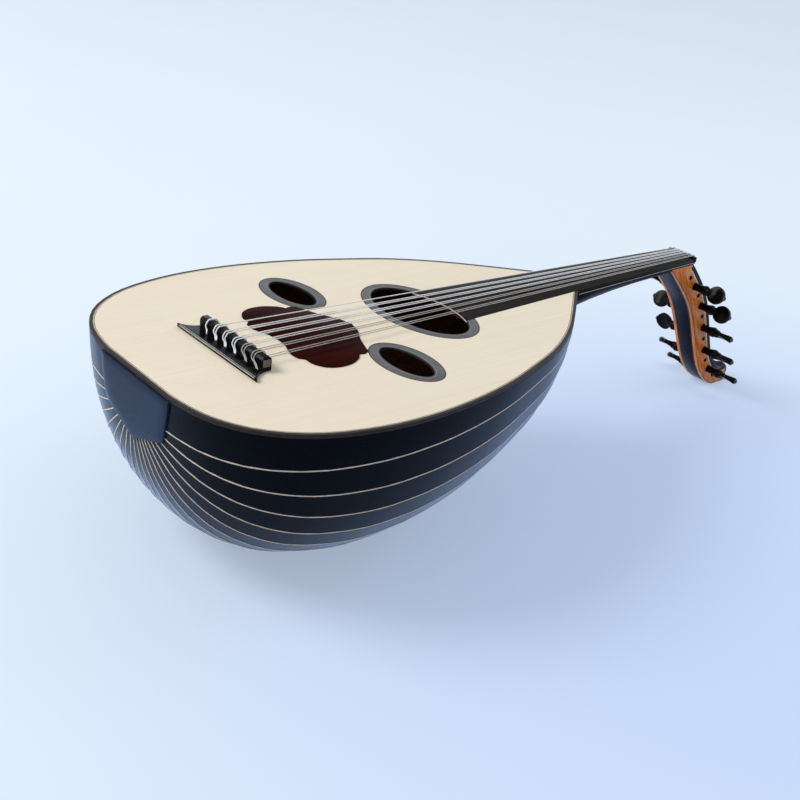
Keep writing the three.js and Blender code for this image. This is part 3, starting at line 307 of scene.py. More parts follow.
def draw_wear(b, given):
    """A mask near one height of the piece, broken up by noise, for worn or lighter edges."""
    height = b.add("ShaderNodeSeparateXYZ", given["Vector"]).outputs["Z"]
    away = b.maths("ABSOLUTE", b.maths("SUBTRACT", height, given["Height"]))
    near = b.maths("SUBTRACT", 1.0, b.maths("DIVIDE", away, given["Spread"]), clamp=True)
    noise = b.noise(given["Vector"], given["Scale"], detail=4.0, roughness=0.65)
    return (b.maths("MULTIPLY", near, b.remap(noise, 0.42, 0.62)),)


# Each group: the function that draws it, its numbers with their usual values, and the masks that it puts out
GROUPS = {
    "Wood Fibres": (draw_fibres, {"Lines": 800.0, "Stretch": 0.02, "Wander": 0.6}, ("Lines", "Figure", "Pores")),
    "Handling Marks": (draw_marks, {"Patches": 9.0, "Scratches": 220.0}, ("Rub", "Scratch", "Dust")),
    "Edge Wear": (draw_wear, {"Height": 0.0, "Spread": 0.004, "Scale": 120.0}, ("Mask",)),
}


def add_socket(group, label, way, kind="Float"):
    """A new input or output of a node group."""
    return group.interface.new_socket(label, in_out=way, socket_type=f"NodeSocket{kind}")


def build_group(name):
    """Builds one of the shader node groups."""
    draw, numbers, masks = GROUPS[name]
    group = bpy.data.node_groups.new(name, "ShaderNodeTree")
    add_socket(group, "Vector", "INPUT", "Vector")
    for label, usual in numbers.items():
        add_socket(group, label, "INPUT").default_value = usual
    for label in masks:
        add_socket(group, label, "OUTPUT")
    b = Builder(group)
    b.add("NodeGroupOutput", *draw(b, b.add("NodeGroupInput").outputs))
    return group


# Materials

HAZE_TINT = (0.33, 0.52, 0.88, 1.0)
DUST_COLOUR = (0.3, 0.3, 0.32, 1.0)
GRAIN_DEPTH = 0.0002
FINE_DEPTH = 0.0001

# The spruce's dark grain lines and its rubbed patches, as shares of its colour
LATE_WOOD = (0.72, 0.58, 0.42)
RUBBED_WOOD = (0.93, 0.87, 0.77)
BANDS_PER_GRAIN = 0.314 / 1.6

# Each wood: the shares of its colour in the dark and light fibres, fibre lines to the metre, how far the
# fibres are drawn out, its roughness, relief and gloss
WOODS = {
    "Bare wood": dict(dark=0.8, light=1.5, lines=500.0, stretch=0.02, roughness=0.7, relief=0.3, specular=0.3),
    "Binding wood": dict(dark=0.75, light=1.3, lines=700.0, stretch=0.05, roughness=0.42, relief=0.15, specular=0.12),
    "Ring inlay": dict(dark=0.8, light=1.25, lines=900.0, stretch=0.05, roughness=0.4, relief=0.1, specular=0.25),
    "Guard rosewood": dict(
        dark=0.45, light=1.9, lines=420.0, stretch=0.03, roughness=0.26, relief=0.06, specular=0.005,
    ),
    "Bridge ebony": dict(
        dark=0.6, light=1.8, lines=900.0, stretch=0.03, roughness=0.14, relief=0.05, specular=0.06,
        turn=(0, 0, math.pi / 2),
    ),
    "Bridge end grain": dict(dark=0.6, light=1.5, lines=1500.0, stretch=0.8, roughness=0.4, relief=0.2, specular=0.2),
    "Fingerboard ebony": dict(
        dark=0.7, light=1.4, lines=1000.0, stretch=0.01, roughness=0.38, relief=0.15, specular=0.04,
    ),
    "Cheek wood": dict(
        dark=0.6, light=1.25, lines=420.0, stretch=0.05, roughness=0.26, relief=0.12, specular=0.25,
        coat=0.2, turn=(math.pi / 3, 0, 0),
    ),
    "Peg ebony": dict(dark=0.6, light=1.8, lines=800.0, stretch=0.4, roughness=0.13, relief=0.05, specular=0.07),
}


def rgb(value, gain=1.0):
    """A colour with its strength changed, as four numbers."""
    return (*[min(1.0, part * gain) for part in value], 1.0)


def shaded(base, shares):
    """A colour with each of its parts changed by a share."""
    return (*[part * gain for part, gain in zip(base, shares)], 1.0)


def new_material(name):
    """An empty material, the builder of its nodes, its shader and the places on its piece."""
    material = bpy.data.materials.new(name)
    material.use_nodes = True
    material.node_tree.nodes.clear()
    b = Builder(material.node_tree)
    shader = b.add("ShaderNodeBsdfPrincipled")
    b.add("ShaderNodeOutputMaterial", shader.outputs["BSDF"])
    return material, b, shader, b.add("ShaderNodeTexCoord").outputs


def join_shader(b, shader, tone, rough, relief, strength, depth=FINE_DEPTH, **others):
    """Joins the colour, the roughness and the relief to a material's shader, and sets its other inputs."""
    bump = b.add("ShaderNodeBump", Strength=strength, Distance=depth, Height=relief)
    inputs = {"Base Color": tone, "Roughness": rough, "Normal": bump.outputs["Normal"], **others}
    for key, value in inputs.items():
        b.put(shader, key.replace("_", " "), value)


def wood_material(name, base):
    """Wood with fibres along its length, darker pores, rubbed patches and a faint relief."""
    wood = WOODS[name]
    dark, light = wood["dark"], wood["light"]
    material, b, shader, place = new_material(name)
    vector = b.mapped(place["Object"], turn=wood["turn"]) if "turn" in wood else place["Object"]
    fibres = b.group("Wood Fibres", vector, Lines=wood["lines"], Stretch=wood["stretch"])
    marks = b.group("Handling Marks", place["Object"])
    tone = b.mix(fibres["Lines"], rgb(base, dark), rgb(base, light))
    tone = b.tint(tone, rgb(base, dark * 0.6), fibres["Pores"], strength=0.5)
    tone = b.tint(tone, rgb(base, light * 1.12), fibres["Figure"], strength=0.35)
    rough = b.raised(wood["roughness"], marks["Rub"], by=0.1)
    rough = b.raised(rough, marks["Scratch"], by=0.08)
    relief = b.maths("SUBTRACT", fibres["Lines"], fibres["Pores"])
    join_shader(
        b, shader, tone, rough, relief, wood["relief"], GRAIN_DEPTH, Specular_IOR_Level=wood["specular"],
        Coat_Weight=wood.get("coat", 0.0), Coat_Roughness=0.12, Coat_IOR=1.3,
    )
    return material


def lacquer_material(name, base, roughness, haze, inside=None, edge_height=None):
    """Lacquer over dark wood: the fibres show faintly, and the inner side can stay bare."""
    material, b, shader, place = new_material(name)
    vector = place["Object"]
    fibres = b.group("Wood Fibres", vector, Lines=620.0, Stretch=0.03, Wander=1.2)
    marks = b.group("Handling Marks", vector, Patches=7.0, Scratches=160.0)
    tone = b.mix(fibres["Lines"], rgb(base, 0.75), rgb(base, 1.35))
    tone = b.tint(tone, rgb(base, 1.9), marks["Rub"], strength=0.35)
    tone = b.tint(tone, DUST_COLOUR, marks["Dust"], strength=0.06)
    if edge_height is not None:
        worn = b.group("Edge Wear", vector, Height=edge_height, Spread=0.0025, Scale=170.0)
        tone = b.tint(tone, rgb(base, 5.0), worn["Mask"], strength=0.4)
    rough = b.raised(roughness, marks["Rub"], by=0.07)
    rough = b.raised(rough, marks["Scratch"], by=0.1)
    # The inner side takes the inside colour, which is bare wood darkened with painted shade
    if inside is not None:
        out = b.vector("SUBTRACT", vector, tuple(BOWL_MIDDLE))
        facing = b.vector("DOT_PRODUCT", out, place["Normal"], output="Value")
        inner = b.maths("LESS_THAN", facing, 0.0)
        tone = b.mix(inner, tone, b.mix(fibres["Lines"], rgb(inside, 0.7), rgb(inside, 1.25)))
        rough = b.raised(rough, inner, by=0.45)
    join_shader(
        b, shader, tone, rough, fibres["Lines"], strength=0.12, depth=GRAIN_DEPTH, Specular_IOR_Level=0.036,
        Sheen_Weight=haze, Sheen_Roughness=0.3, Sheen_Tint=HAZE_TINT,
    )
    return material


def spruce_material(name, base, spacing):
    """Pale quarter-sawn spruce: narrow dark lines along the board, silky cross figure."""
    material, b, shader, place = new_material(name)
    vector = place["Object"]
    fibres = b.group("Wood Fibres", vector, Lines=1.0 / spacing, Stretch=0.004, Wander=1.5)
    marks = b.group("Handling Marks", vector, Patches=6.0, Scratches=300.0)
    edge = b.group("Edge Wear", vector, Height=BOARD_TOP, Spread=1.0, Scale=14.0)
    bands = b.add(
        "ShaderNodeTexWave", options={"wave_type": "BANDS", "bands_direction": "X"}, Vector=vector,
        Scale=BANDS_PER_GRAIN / spacing, Distortion=1.4, Detail=2.0, Detail_Scale=0.35,
    )
    late = b.remap(bands.outputs["Fac"], 0.55, 1.0)
    late = b.maths("MULTIPLY", late, b.raised(0.4, fibres["Figure"], by=0.6))
    cross = b.noise(b.mapped(vector, scale=(60.0, 500.0, 60.0)), scale=1.0, detail=2.0)
    tone = b.mix(b.maths("MULTIPLY", fibres["Lines"], 0.5), rgb(base, 1.04), rgb(base, 0.93))
    tone = b.tint(tone, shaded(base, LATE_WOOD), late, strength=0.3)
    tone = b.tint(tone, rgb(base, 1.12), b.remap(cross, 0.45, 0.7), strength=0.1)
    tone = b.tint(tone, shaded(base, RUBBED_WOOD), marks["Rub"], strength=0.12)
    tone = b.tint(tone, rgb(base, 0.84), edge["Mask"], strength=0.06)
    relief = b.raised(fibres["Lines"], late, by=-0.7)
    rough = b.raised(0.55, late, by=-0.1)
    join_shader(b, shader, tone, rough, relief, strength=0.18, Specular_IOR_Level=0.35)
    return material


def string_material(name, base, pitch, metallic, roughness):
    """A string: fine winding across its length, tarnished in patches."""
    material, b, shader, place = new_material(name)
    along = b.add("ShaderNodeAttribute", options={"attribute_name": "along"}).outputs["Fac"]
    saw = b.maths("PINGPONG", b.maths("MULTIPLY", along, 1.0 / pitch), 0.5)
    marks = b.group("Handling Marks", place["Object"], Patches=60.0, Scratches=900.0)
    tone = b.mix(b.remap(saw, 0.0, 0.25), rgb(base, 0.8), rgb(base))
    tone = b.tint(tone, rgb(base, 0.8), marks["Rub"], strength=0.3)
    rough = b.raised(roughness, marks["Rub"], by=0.12)
    join_shader(b, shader, tone, rough, saw, strength=0.4, Metallic=metallic)
    return material


def inlay_material(name, base, roughness=0.42, specular=0.4):
    """Thin strips of coloured wood or shell, slightly uneven in colour."""
    material, b, shader, place = new_material(name)
    marks = b.group("Handling Marks", place["Object"], Patches=140.0, Scratches=500.0)
    tone = b.mix(marks["Rub"], rgb(base, 0.82), rgb(base, 1.12))
    tone = b.tint(tone, rgb(base, 0.6), marks["Scratch"], strength=0.3)
    rough = b.raised(roughness, marks["Rub"], by=0.1)
    join_shader(b, shader, tone, rough, marks["Rub"], strength=0.1, Specular_IOR_Level=specular)
    return material


# Finishing parts and adding pieces

WELD_REACH = 0.00001
BEVEL_SEGMENTS = 2


def smoothing_nodes():
    """Modifier nodes that mark edges sharp where they bend more than an angle."""
    name = "Sharp By Angle"
    if name in bpy.data.node_groups:
        return bpy.data.node_groups[name]
    group = bpy.data.node_groups.new(name, "GeometryNodeTree")
    add_socket(group, "Geometry", "INPUT", "Geometry")
    add_socket(group, "Angle", "INPUT")
    add_socket(group, "Geometry", "OUTPUT", "Geometry")
    b = Builder(group)
    given = b.add("NodeGroupInput").outputs
    bend = b.add("GeometryNodeInputMeshEdgeAngle").outputs["Unsigned Angle"]
    sharp = b.add(
        "FunctionNodeCompare", bend, given["Angle"], options={"data_type": "FLOAT", "operation": "GREATER_THAN"},
    ).outputs[0]
    faces = b.add(
        "GeometryNodeSetShadeSmooth", options={"domain": "FACE"}, Geometry=given["Geometry"], Shade_Smooth=True,
    ).outputs[0]
    edges = b.add(
        "GeometryNodeSetShadeSmooth", options={"domain": "EDGE"}, Geometry=faces, Selection=sharp, Shade_Smooth=False,
    ).outputs[0]
    b.add("NodeGroupOutput", edges)
    return group


def dress(name, material, bevel=0.0, angle=35.0, bevel_angle=40.0):
    """Gives a part of the model its finish, a soft edge and smooth shading."""
    part = NODES[name]
    part.data.materials.clear()
    part.data.materials.append(material)
    if "custom_normal" in part.data.attributes:
        part.data.attributes.remove(part.data.attributes["custom_normal"])
    part.modifiers.new("Weld", "WELD").merge_threshold = WELD_REACH
    if bevel:
        soft = part.modifiers.new("Soft edges", "BEVEL")
        soft.width = bevel
        soft.segments = BEVEL_SEGMENTS
        soft.limit_method = "ANGLE"
        soft.angle_limit = math.radians(bevel_angle)
        soft.use_clamp_overlap = True
    smooth = part.modifiers.new("Smooth", "NODES")
    smooth.node_group = smoothing_nodes()
    socket = next(s for s in smooth.node_group.interface.items_tree if s.name == "Angle")
    smooth[socket.identifier] = math.radians(angle)


def new_object(name, data):
    """A new object in the scene."""
    added = bpy.data.objects.new(name, data)
    bpy.context.scene.collection.objects.link(added)
    return added


def add_piece(name, form, slot, *materials, body=BODY, angle=40.0):
    """A new piece in the frame's own place, made of (points, faces) and riding a body."""
    points, faces = form
    mesh = bpy.data.meshes.new(name)
    mesh.from_pydata([tuple(p) for p in points], [], faces)
    mesh.validate()
    mesh.polygons.foreach_set("use_smooth", [True] * len(mesh.polygons))
    mesh.set_sharp_from_angle(angle=math.radians(angle))
    for material in materials:
        mesh.materials.append(material)
    piece = new_object(name, mesh)
    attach(piece, body)
    return piece


# Forms, as (points, faces)

RIBBON_SINK = 0.0001
RIBBON_TOP_SHARE = 0.36
RIBBON_SHOULDER_SHARE = 0.5


def join_rings(rings, closed=False, capped=True):
    """A skin over rings of equal counts."""
    count = len(rings[0])
    points = [p for ring in rings for p in ring]
    faces = []
    for i in range(len(rings) if closed else len(rings) - 1):
        a = i * count
        b = ((i + 1) % len(rings)) * count
        for j in range(count):
            k = (j + 1) % count
            faces.append((a + j, a + k, b + k, b + j))
    if capped and not closed:
        last = (len(rings) - 1) * count
        faces.append(tuple(reversed(range(count))))
        faces.append(tuple(range(last, last + count)))
    return points, faces


def merge(forms):
    """Several forms as one."""
    points, faces = [], []
    for more_points, more_faces in forms:
        base = len(points)
        points.extend(more_points)
        faces.extend(tuple(base + i for i in face) for face in more_faces)
    return points, faces


def tangents(path, closed=False):
    """The way along a path at each of its points."""
    ways = []
    last = len(path) - 1
    for i in range(len(path)):
        before = path[i - 1] if i or closed else path[0]
        after = path[(i + 1) % len(path)] if i < last or closed else path[last]
        ways.append((after - before).normalized())
    return ways


def circle(sides):
    """The cosine and the sine at each corner of a circle."""
    turns = [2 * math.pi * k / sides for k in range(sides)]
    return [(math.cos(turn), math.sin(turn)) for turn in turns]


def tube(path, radii, sides):
    """A round tube along a path."""
    ways = tangents(path)
    side = ways[0].orthogonal().normalized()
    rings = []
    for place, way, radius in zip(path, ways, radii):
        side = (side - way * side.dot(way)).normalized()
        other = way.cross(side)
        rings.append([place + (side * c + other * s) * radius for c, s in circle(sides)])
    return join_rings(rings)


def ribbon(line, width, height, closed=False, sink=RIBBON_SINK):
    """A thin strip with sloped edges, laid along a line of (place, way up) on a surface."""
    rings = []
    for (place, up), way in zip(line, tangents([p for p, _ in line], closed)):
        across = way.cross(up).normalized()
        edge, top = across * (width / 2), across * (width * RIBBON_TOP_SHARE)
        shoulder, rise = up * height * RIBBON_SHOULDER_SHARE, up * height
        rings.append([
            place - edge - up * sink, place + edge - up * sink, place + edge + shoulder,
            place + top + rise, place - top + rise, place - edge + shoulder,
        ])
    return join_rings(rings, closed=closed)


def smooth_line(points, steps):
    """A smooth line through the given points, with a number of steps between each two."""
    line = []
    for i in range(len(points) - 1):
        before, a, b, after = points[max(0, i - 1)], points[i], points[i + 1], points[min(len(points) - 1, i + 2)]
        for k in range(steps):
            t = k / steps
            bend = (2 * before - 5 * a + 4 * b - after) * t + (3 * a - before - 3 * b + after) * t * t
            line.append(a + ((b - before) + bend) * (t / 2))
    return [*line, points[-1]]


# Lines found on the parts

WELD_DISTANCE = 0.000001
CORNER_ANGLE = 40.0
RUN_STEP = 0.003
EASE_ROUNDS = 2


def welded(name):
    """A copy of a part's mesh with its faces joined."""
    mesh = bmesh.new()
    mesh.from_mesh(NODES[name].data)
    bmesh.ops.remove_doubles(mesh, verts=mesh.verts, dist=WELD_DISTANCE)
    mesh.normal_update()
    return mesh


def surface_of(name):
    """A part's faces, ready for rays to be cast at them."""
    mesh = welded(name)
    tree = BVHTree.FromBMesh(mesh)
    mesh.free()
    return tree


def link(steps, edge, *sums_and_ways):
    """Notes the step between an edge's ends, and adds each way to its sum at both."""
    a, b = edge.verts
    for v, other in ((a, b), (b, a)):
        steps.setdefault(v.index, set()).add(other.index)
        for total, way in sums_and_ways:
            total[v.index] = total.get(v.index, Vector()) + way


def follow(steps):
    """Runs of points from the steps between them, as (points, closed)."""
    left = {key: set(value) for key, value in steps.items()}
    runs = []
    while left:
        start = next((k for k, v in left.items() if len(v) == 1), None)
        closed = start is None
        if closed:
            start = next(iter(left))
        run = [start]
        here = start
        while left.get(here):
            there = left[here].pop()
            left[there].discard(here)
            if not left[here]:
                del left[here]
            if there == start:
                break
            run.append(there)
            here = there
        for key in [k for k, v in left.items() if not v]:
            del left[key]
        runs.append((run, closed))
    return runs


def split_at_corners(points, closed):
    """A run in pieces that end where it turns a corner, each with whether it is closed."""
    count = len(points)
    cuts = []
    for i in range(count):
        if not closed and i in (0, count - 1):
            continue
        before = (points[i][0] - points[i - 1][0]).normalized()
        after = (points[(i + 1) % count][0] - points[i][0]).normalized()
        if before.angle(after, 0) > math.radians(CORNER_ANGLE):
            cuts.append(i)
    if closed and not cuts:
        return [(points, True)]
    if closed:
        points = points[cuts[0]:] + points[:cuts[0] + 1]
        cuts = [cut - cuts[0] for cut in cuts[1:]]
    ends = [0, *cuts, len(points) - 1]
    return [(points[low:high + 1], False) for low, high in zip(ends, ends[1:]) if high > low]


def face_edges(name, chosen):
    """The border of the chosen faces of a part, as runs of (place, way out, way in) split at corners."""
    mesh = welded(name)
    inside = {f.index for f in mesh.faces if chosen(f.normal, f.calc_center_median())}
    steps, outs, ins = {}, {}, {}
    for edge in mesh.edges:
        held = [f for f in edge.link_faces if f.index in inside]
        if len(held) != 1 or len(edge.link_faces) != 2:
            continue
        a, b = edge.verts
        inward = held[0].normal.cross((b.co - a.co).normalized())
        if inward.dot(held[0].calc_center_median() - (a.co + b.co) / 2) < 0:
            inward = -inward
        link(steps, edge, (outs, held[0].normal), (ins, inward))
    places = {v.index: v.co.copy() for v in mesh.verts}
    mesh.free()
    runs = []
    for run, closed in follow(steps):
        runs += split_at_corners([(places[k], outs[k].normalized(), ins[k].normalized()) for k in run], closed)
    return runs


def run_length(run):
    return sum((b[0] - a[0]).length for a, b in zip(run, run[1:]))


def refine(run, step, closed=False):
    """The same run with points no further apart than a step."""
    fine = []
    for i in range(len(run) if closed else len(run) - 1):
        a, b = run[i], run[(i + 1) % len(run)]
        parts = max(1, math.ceil((b[0] - a[0]).length / step))
        for k in range(parts):
            fine.append(tuple(start.lerp(end, k / parts) for start, end in zip(a, b)))
    if not closed:
        fine.append(run[-1])
    return fine


def ease(run, closed=False):
    """Evens out the ways in along a run, which bend at each corner of a faceted edge."""
    for _ in range(EASE_ROUNDS):
        eased = []
        for i, (place, out, inward) in enumerate(run):
            if closed or i not in (0, len(run) - 1):
                inward = (run[i - 1][2] + inward * 2 + run[(i + 1) % len(run)][2]).normalized()
            eased.append((place, out, inward))
        run = eased
    return run


def inset_ribbon(run, distance, width, height, closed=False, keep=None, step=RUN_STEP):
    """Strips at a distance inside a run, kept only where the test says."""
    fine = ease(refine(run, step, closed), closed)
    stretches = [[]]
    for place, out, inward in fine:
        spot = place + inward * distance
        if keep is None or keep(spot):
            stretches[-1].append((spot, out))
        elif stretches[-1]:
            stretches.append([])
    if not stretches[-1]:
        stretches.pop()
    whole = closed and len(stretches) == 1 and len(stretches[0]) == len(fine)
    if closed and len(stretches) > 1 and stretches[-1][-1][0] == fine[-1][0] + fine[-1][2] * distance:
        stretches[0] = stretches.pop() + stretches[0]
    return [ribbon(line, width, height, closed=whole) for line in stretches if len(line) > 2]


# Bowl

RIB_JOINT_REACH = 0.0008
STRIP_SINK = 0.0006
STRIP_CURVE_STEPS = 3
SHORTEST_STEP = 0.001
END_STEP = 0.0036
END_FALL = 0.002
WORN_EDGE_DROP = 0.0035
CLASP_EXTRA_ROUGHNESS = 0.06


def rib_joint(first, second):
    """The outer line where two ribs meet, from the tail to the neck, as (place, way out)."""
    one, two = welded(first), welded(second)
    tree = BVHTree.FromBMesh(two)
    mates = {}
    for v in one.verts:
        place, _, _, gap = tree.find_nearest(v.co)
        if gap < RIB_JOINT_REACH:
            mates[v.index] = place.copy()
    steps, outs = {}, {}
    for edge in one.edges:
        if any(v.index not in mates for v in edge.verts):
            continue
        for face in edge.link_faces:
            if all(v.index in mates for v in face.verts):
                continue
            if face.normal.dot(face.calc_center_median() - BOWL_MIDDLE) > 0:
                link(steps, edge, (outs, face.normal))
    places = {v.index: v.co.copy() for v in one.verts}
    one.free()
    two.free()
    run = max((r for r, _ in follow(steps)), key=len)
    line = [((places[k] + mates[k]) / 2, outs[k].normalized()) for k in run]
    if line[0][0].y > line[-1][0].y:
        line.reverse()
    trim_end(line, 0, 1)
    trim_end(line, -1, -2)
    return line


def trim_end(line, end, near):
    """Takes off the short steps at an end of a rib's line, where it turns in round the rib."""
    while len(line) > 4:
        step = (line[end][0] - line[near][0]).length
        fall = (line[near][0] - BOWL_MIDDLE).length - (line[end][0] - BOWL_MIDDLE).length
        if step > SHORTEST_STEP and (step > END_STEP or fall < END_FALL):
            break
        line.pop(end)


class OUD_OT_bowl(bpy.types.Operator):
    """Finish the ribs and the tail clasp, and lay the thin strips between the ribs"""

    bl_idname = "oud.bowl"
    bl_label = "Bowl"

    def execute(self, context):
        look = context.scene.oud_bowl
        lacquer = lacquer_material(
            "Bowl lacquer", look.lacquer, look.gloss, look.haze, look.inside, BOARD_TOP - WORN_EDGE_DROP,
        )
        for name in RIBS:
            dress(name, lacquer, angle=25.0)
        # Dark lacquer whose colour also holds a painted reflection of the pale floor
        clasp_painted_reflection = lacquer_material("Clasp lacquer with painted reflection", look.clasp_painted_reflection, look.gloss + CLASP_EXTRA_ROUGHNESS, look.haze)
        dress("end_clasp", clasp_painted_reflection, bevel=0.0012, angle=40.0)
        strips = []
        for first, second in zip(RIBS, RIBS[1:]):
            places, outs = zip(*rib_joint(first, second))
            ups = [out.normalized() for out in smooth_line(outs, STRIP_CURVE_STEPS)]
            line = list(zip(smooth_line(places, STRIP_CURVE_STEPS), ups))
            strips.append(ribbon(line, look.line_width, look.line_height, sink=STRIP_SINK))
        points, faces = merge(strips)
        above_floor = [(p.x, p.y, max(p.z, 0.0)) for p in points]
        pale = inlay_material("Rib line", look.line, roughness=0.4)
        add_piece("rib_lines", (above_floor, faces), "bowl_lacquer", pale)
        return {"FINISHED"}


class OUD_OT_inside(bpy.types.Operator):
    """Finish the blocks and bars inside the bowl"""

    bl_idname = "oud.inside"
    bl_label = "Inside"

    def execute(self, context):
        # The inside colour is bare wood darkened with painted shade
        bare = wood_material("Bare wood", context.scene.oud_bowl.inside)
        for name in ("neck_block", "tail_block", "soundboard_bars"):
            dress(name, bare, bevel=0.0004)
        return {"FINISHED"}


# Soundboard

LINE_HEIGHT = 0.00005
LEVEL_REACH = 0.0001
FACING_UP = 0.9
CAST_HEIGHT = 0.01
RING_STEP = 0.002
BOARD_WALL = 0.0023
WALL_LINE_HEIGHT = 0.00025

# Rows of lines inside an edge: distance from it, and width
DARK_PURFLING = ((-0.0001, 0.0007), (0.0013, 0.0005))
LIGHT_PURFLING = ((0.0006, 0.0007),)
RING_LINES = ((0.0016, 0.0003), (0.0031, 0.00025), (0.0046, 0.0003), (0.0061, 0.00025), (0.0076, 0.0007))
RING_BORDERS = ((0.0004, 0.0008), (0.0089, 0.0009))


def top_edges(name, level):
    """The borders of a part's faces that look up at a height, as face_edges gives them, longest first."""
    runs = face_edges(name, lambda normal, place: normal.z > FACING_UP and place.z > level - LEVEL_REACH)
    return sorted(runs, key=lambda run: -run_length(run[0]))


def rows_of_lines(run, rows, *limits):
    """Flat lines inside a run, one for each row."""
    return [part for distance, width in rows for part in inset_ribbon(run, distance, width, LINE_HEIGHT, *limits)]


class OUD_OT_soundboard(bpy.types.Operator):
    """Finish the soundboard, its binding and rings, and lay the fine lines beside them"""

    bl_idname = "oud.soundboard"
    bl_label = "Soundboard"

    def execute(self, context):
        look = context.scene.oud_board
        dress("soundboard", spruce_material("Spruce", look.spruce, look.grain), angle=30.0)
        dress("edge_binding", wood_material("Binding wood", look.binding), bevel=0.0004)
        edge, _ = top_edges("soundboard", BOARD_TOP)[0]
        dark = inlay_material("Dark line", look.dark_line)
        light = inlay_material("Light line", look.light_line)
        add_piece("purfling_dark", merge(rows_of_lines(edge, DARK_PURFLING)), "binding_wood", dark)
        add_piece("purfling_light", merge(rows_of_lines(edge, LIGHT_PURFLING)), "binding_wood", light)
        ring = wood_material("Ring inlay", look.ring)
        fine = inlay_material("Ring line", look.ring_line, roughness=0.35)
        for name in RINGS:
            dress(name, ring, bevel=0.0002)
            surface = surface_of(name)
            (outer, closed), (inner, _) = top_edges(name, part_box(name)[1].z)[:2]
            limits = (closed, lambda spot: surface.ray_cast(spot + UP * CAST_HEIGHT, DOWN)[0] is not None, RING_STEP)
            wall = [
                (Vector((spot.x, spot.y, BOARD_TOP - BOARD_WALL / 2)), -inward)
                for spot, _, inward in refine(inner, RING_STEP, closed)
            ]
            borders = rows_of_lines(outer, RING_BORDERS, *limits)
            borders.append(ribbon(wall, BOARD_WALL, WALL_LINE_HEIGHT, closed))
            add_piece(f"{name}_lines", merge(rows_of_lines(outer, RING_LINES, *limits)), "ring_inlay", fine)
            add_piece(f"{name}_borders", merge(borders), "ring_inlay", dark)
        return {"FINISHED"}


class OUD_OT_pickguard(bpy.types.Operator):
    """Finish the pickguard in polished dark wood"""

    bl_idname = "oud.pickguard"
    bl_label = "Pickguard"

    def execute(self, context):
        guard = wood_material("Guard rosewood", context.scene.oud_board.guard)
        dress("pickguard", guard, bevel=0.0003, angle=30.0)
        return {"FINISHED"}


# Bridge and nut

# The block that the strings are tied to: its width, height, chamfer and the height of its string holes
BRIDGE_BLOCK = (0.0095, 0.0126, 0.0022, 0.0066)
BLOCK_HALF_LENGTH = 0.0475
PLATE_THICKNESS = 0.0034
GRAIN_MARGIN = 0.0011
GRAIN_THICKNESS = 0.0002
TAIL_EDGE_REACH = 0.93
TAIL_EDGE_INSET = 0.0009
TAIL_EDGE_WIDTH = 0.0006
TAIL_SIDE_WIDTH = 0.0012
TAIL_EDGE_STEPS = 60
TAIL_EDGE_FACING = 0.8
EDGE_LINE_HEIGHT = 0.00008


def end_plate(side, low, high):
    """A thin plate with sloped edges on an end of the bridge's block, between two (y, z) corners."""
    rings = []
    for inset, out in (
        (0.0, -GRAIN_THICKNESS), (0.0, GRAIN_THICKNESS / 2), (GRAIN_THICKNESS / 2, GRAIN_THICKNESS),
    ):
        y0, z0, y1, z1 = low[0] + inset, low[1] + inset, high[0] - inset, high[1] - inset
        corners = ((y0, z0), (y1, z0), (y1, z1), (y0, z1))[::side]
        rings.append([Vector((side * (BLOCK_HALF_LENGTH + out), y, z)) for y, z in corners])
    return join_rings(rings)


class OUD_OT_bridge(bpy.types.Operator):
    """Finish the bridge and the nut, and add the bridge's end grain and edge line"""

    bl_idname = "oud.bridge"
    bl_label = "Bridge and nut"

    def execute(self, context):
        look = context.scene.oud_bridge
        ebony = wood_material("Bridge ebony", look.wood)
        dress("bridge", ebony, bevel=0.0005, bevel_angle=35.0)
        dress("nut", ebony, bevel=0.0003)
        low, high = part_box("bridge")
        surface = surface_of("bridge")
        edge = []
        for i in range(TAIL_EDGE_STEPS + 1):
            x = TAIL_EDGE_REACH * (low.x + (high.x - low.x) * i / TAIL_EDGE_STEPS)
            start = Vector((x, low.y + TAIL_EDGE_INSET, high.z + CAST_HEIGHT))
            place, normal, _, _ = surface.ray_cast(start, DOWN)
            if place is not None and normal.z > TAIL_EDGE_FACING:
                edge.append(place)
        tail = [Vector((p.x, low.y, p.z - TAIL_EDGE_INSET)) for p in edge]
        lines = merge([
            ribbon([(p, UP) for p in edge], TAIL_EDGE_WIDTH, EDGE_LINE_HEIGHT),
            ribbon([(p, Vector((0, -1, 0))) for p in tail], TAIL_SIDE_WIDTH, EDGE_LINE_HEIGHT),
        ])
        add_piece("bridge_edge_line", lines, "bridge_ebony", inlay_material("Bridge edge line", look.edge))
        width, height, chamfer, _ = BRIDGE_BLOCK
        back_low = (high.y - width + GRAIN_MARGIN, BOARD_TOP + PLATE_THICKNESS + GRAIN_MARGIN / 2)
        front_high = (high.y - GRAIN_MARGIN, BOARD_TOP + height - chamfer)
        ends = merge([end_plate(side, back_low, front_high) for side in (1, -1)])
        add_piece("bridge_end_grain", ends, "bridge_ebony", wood_material("Bridge end grain", look.inlay))
        return {"FINISHED"}


# Neck

NECK_LINE_STEPS = 70
NECK_LINE_MARGIN = 0.003
NECK_LINE_HEIGHT = 0.0001
NECK_LINE_LEAN = -0.2
BESIDE_NECK = 0.1


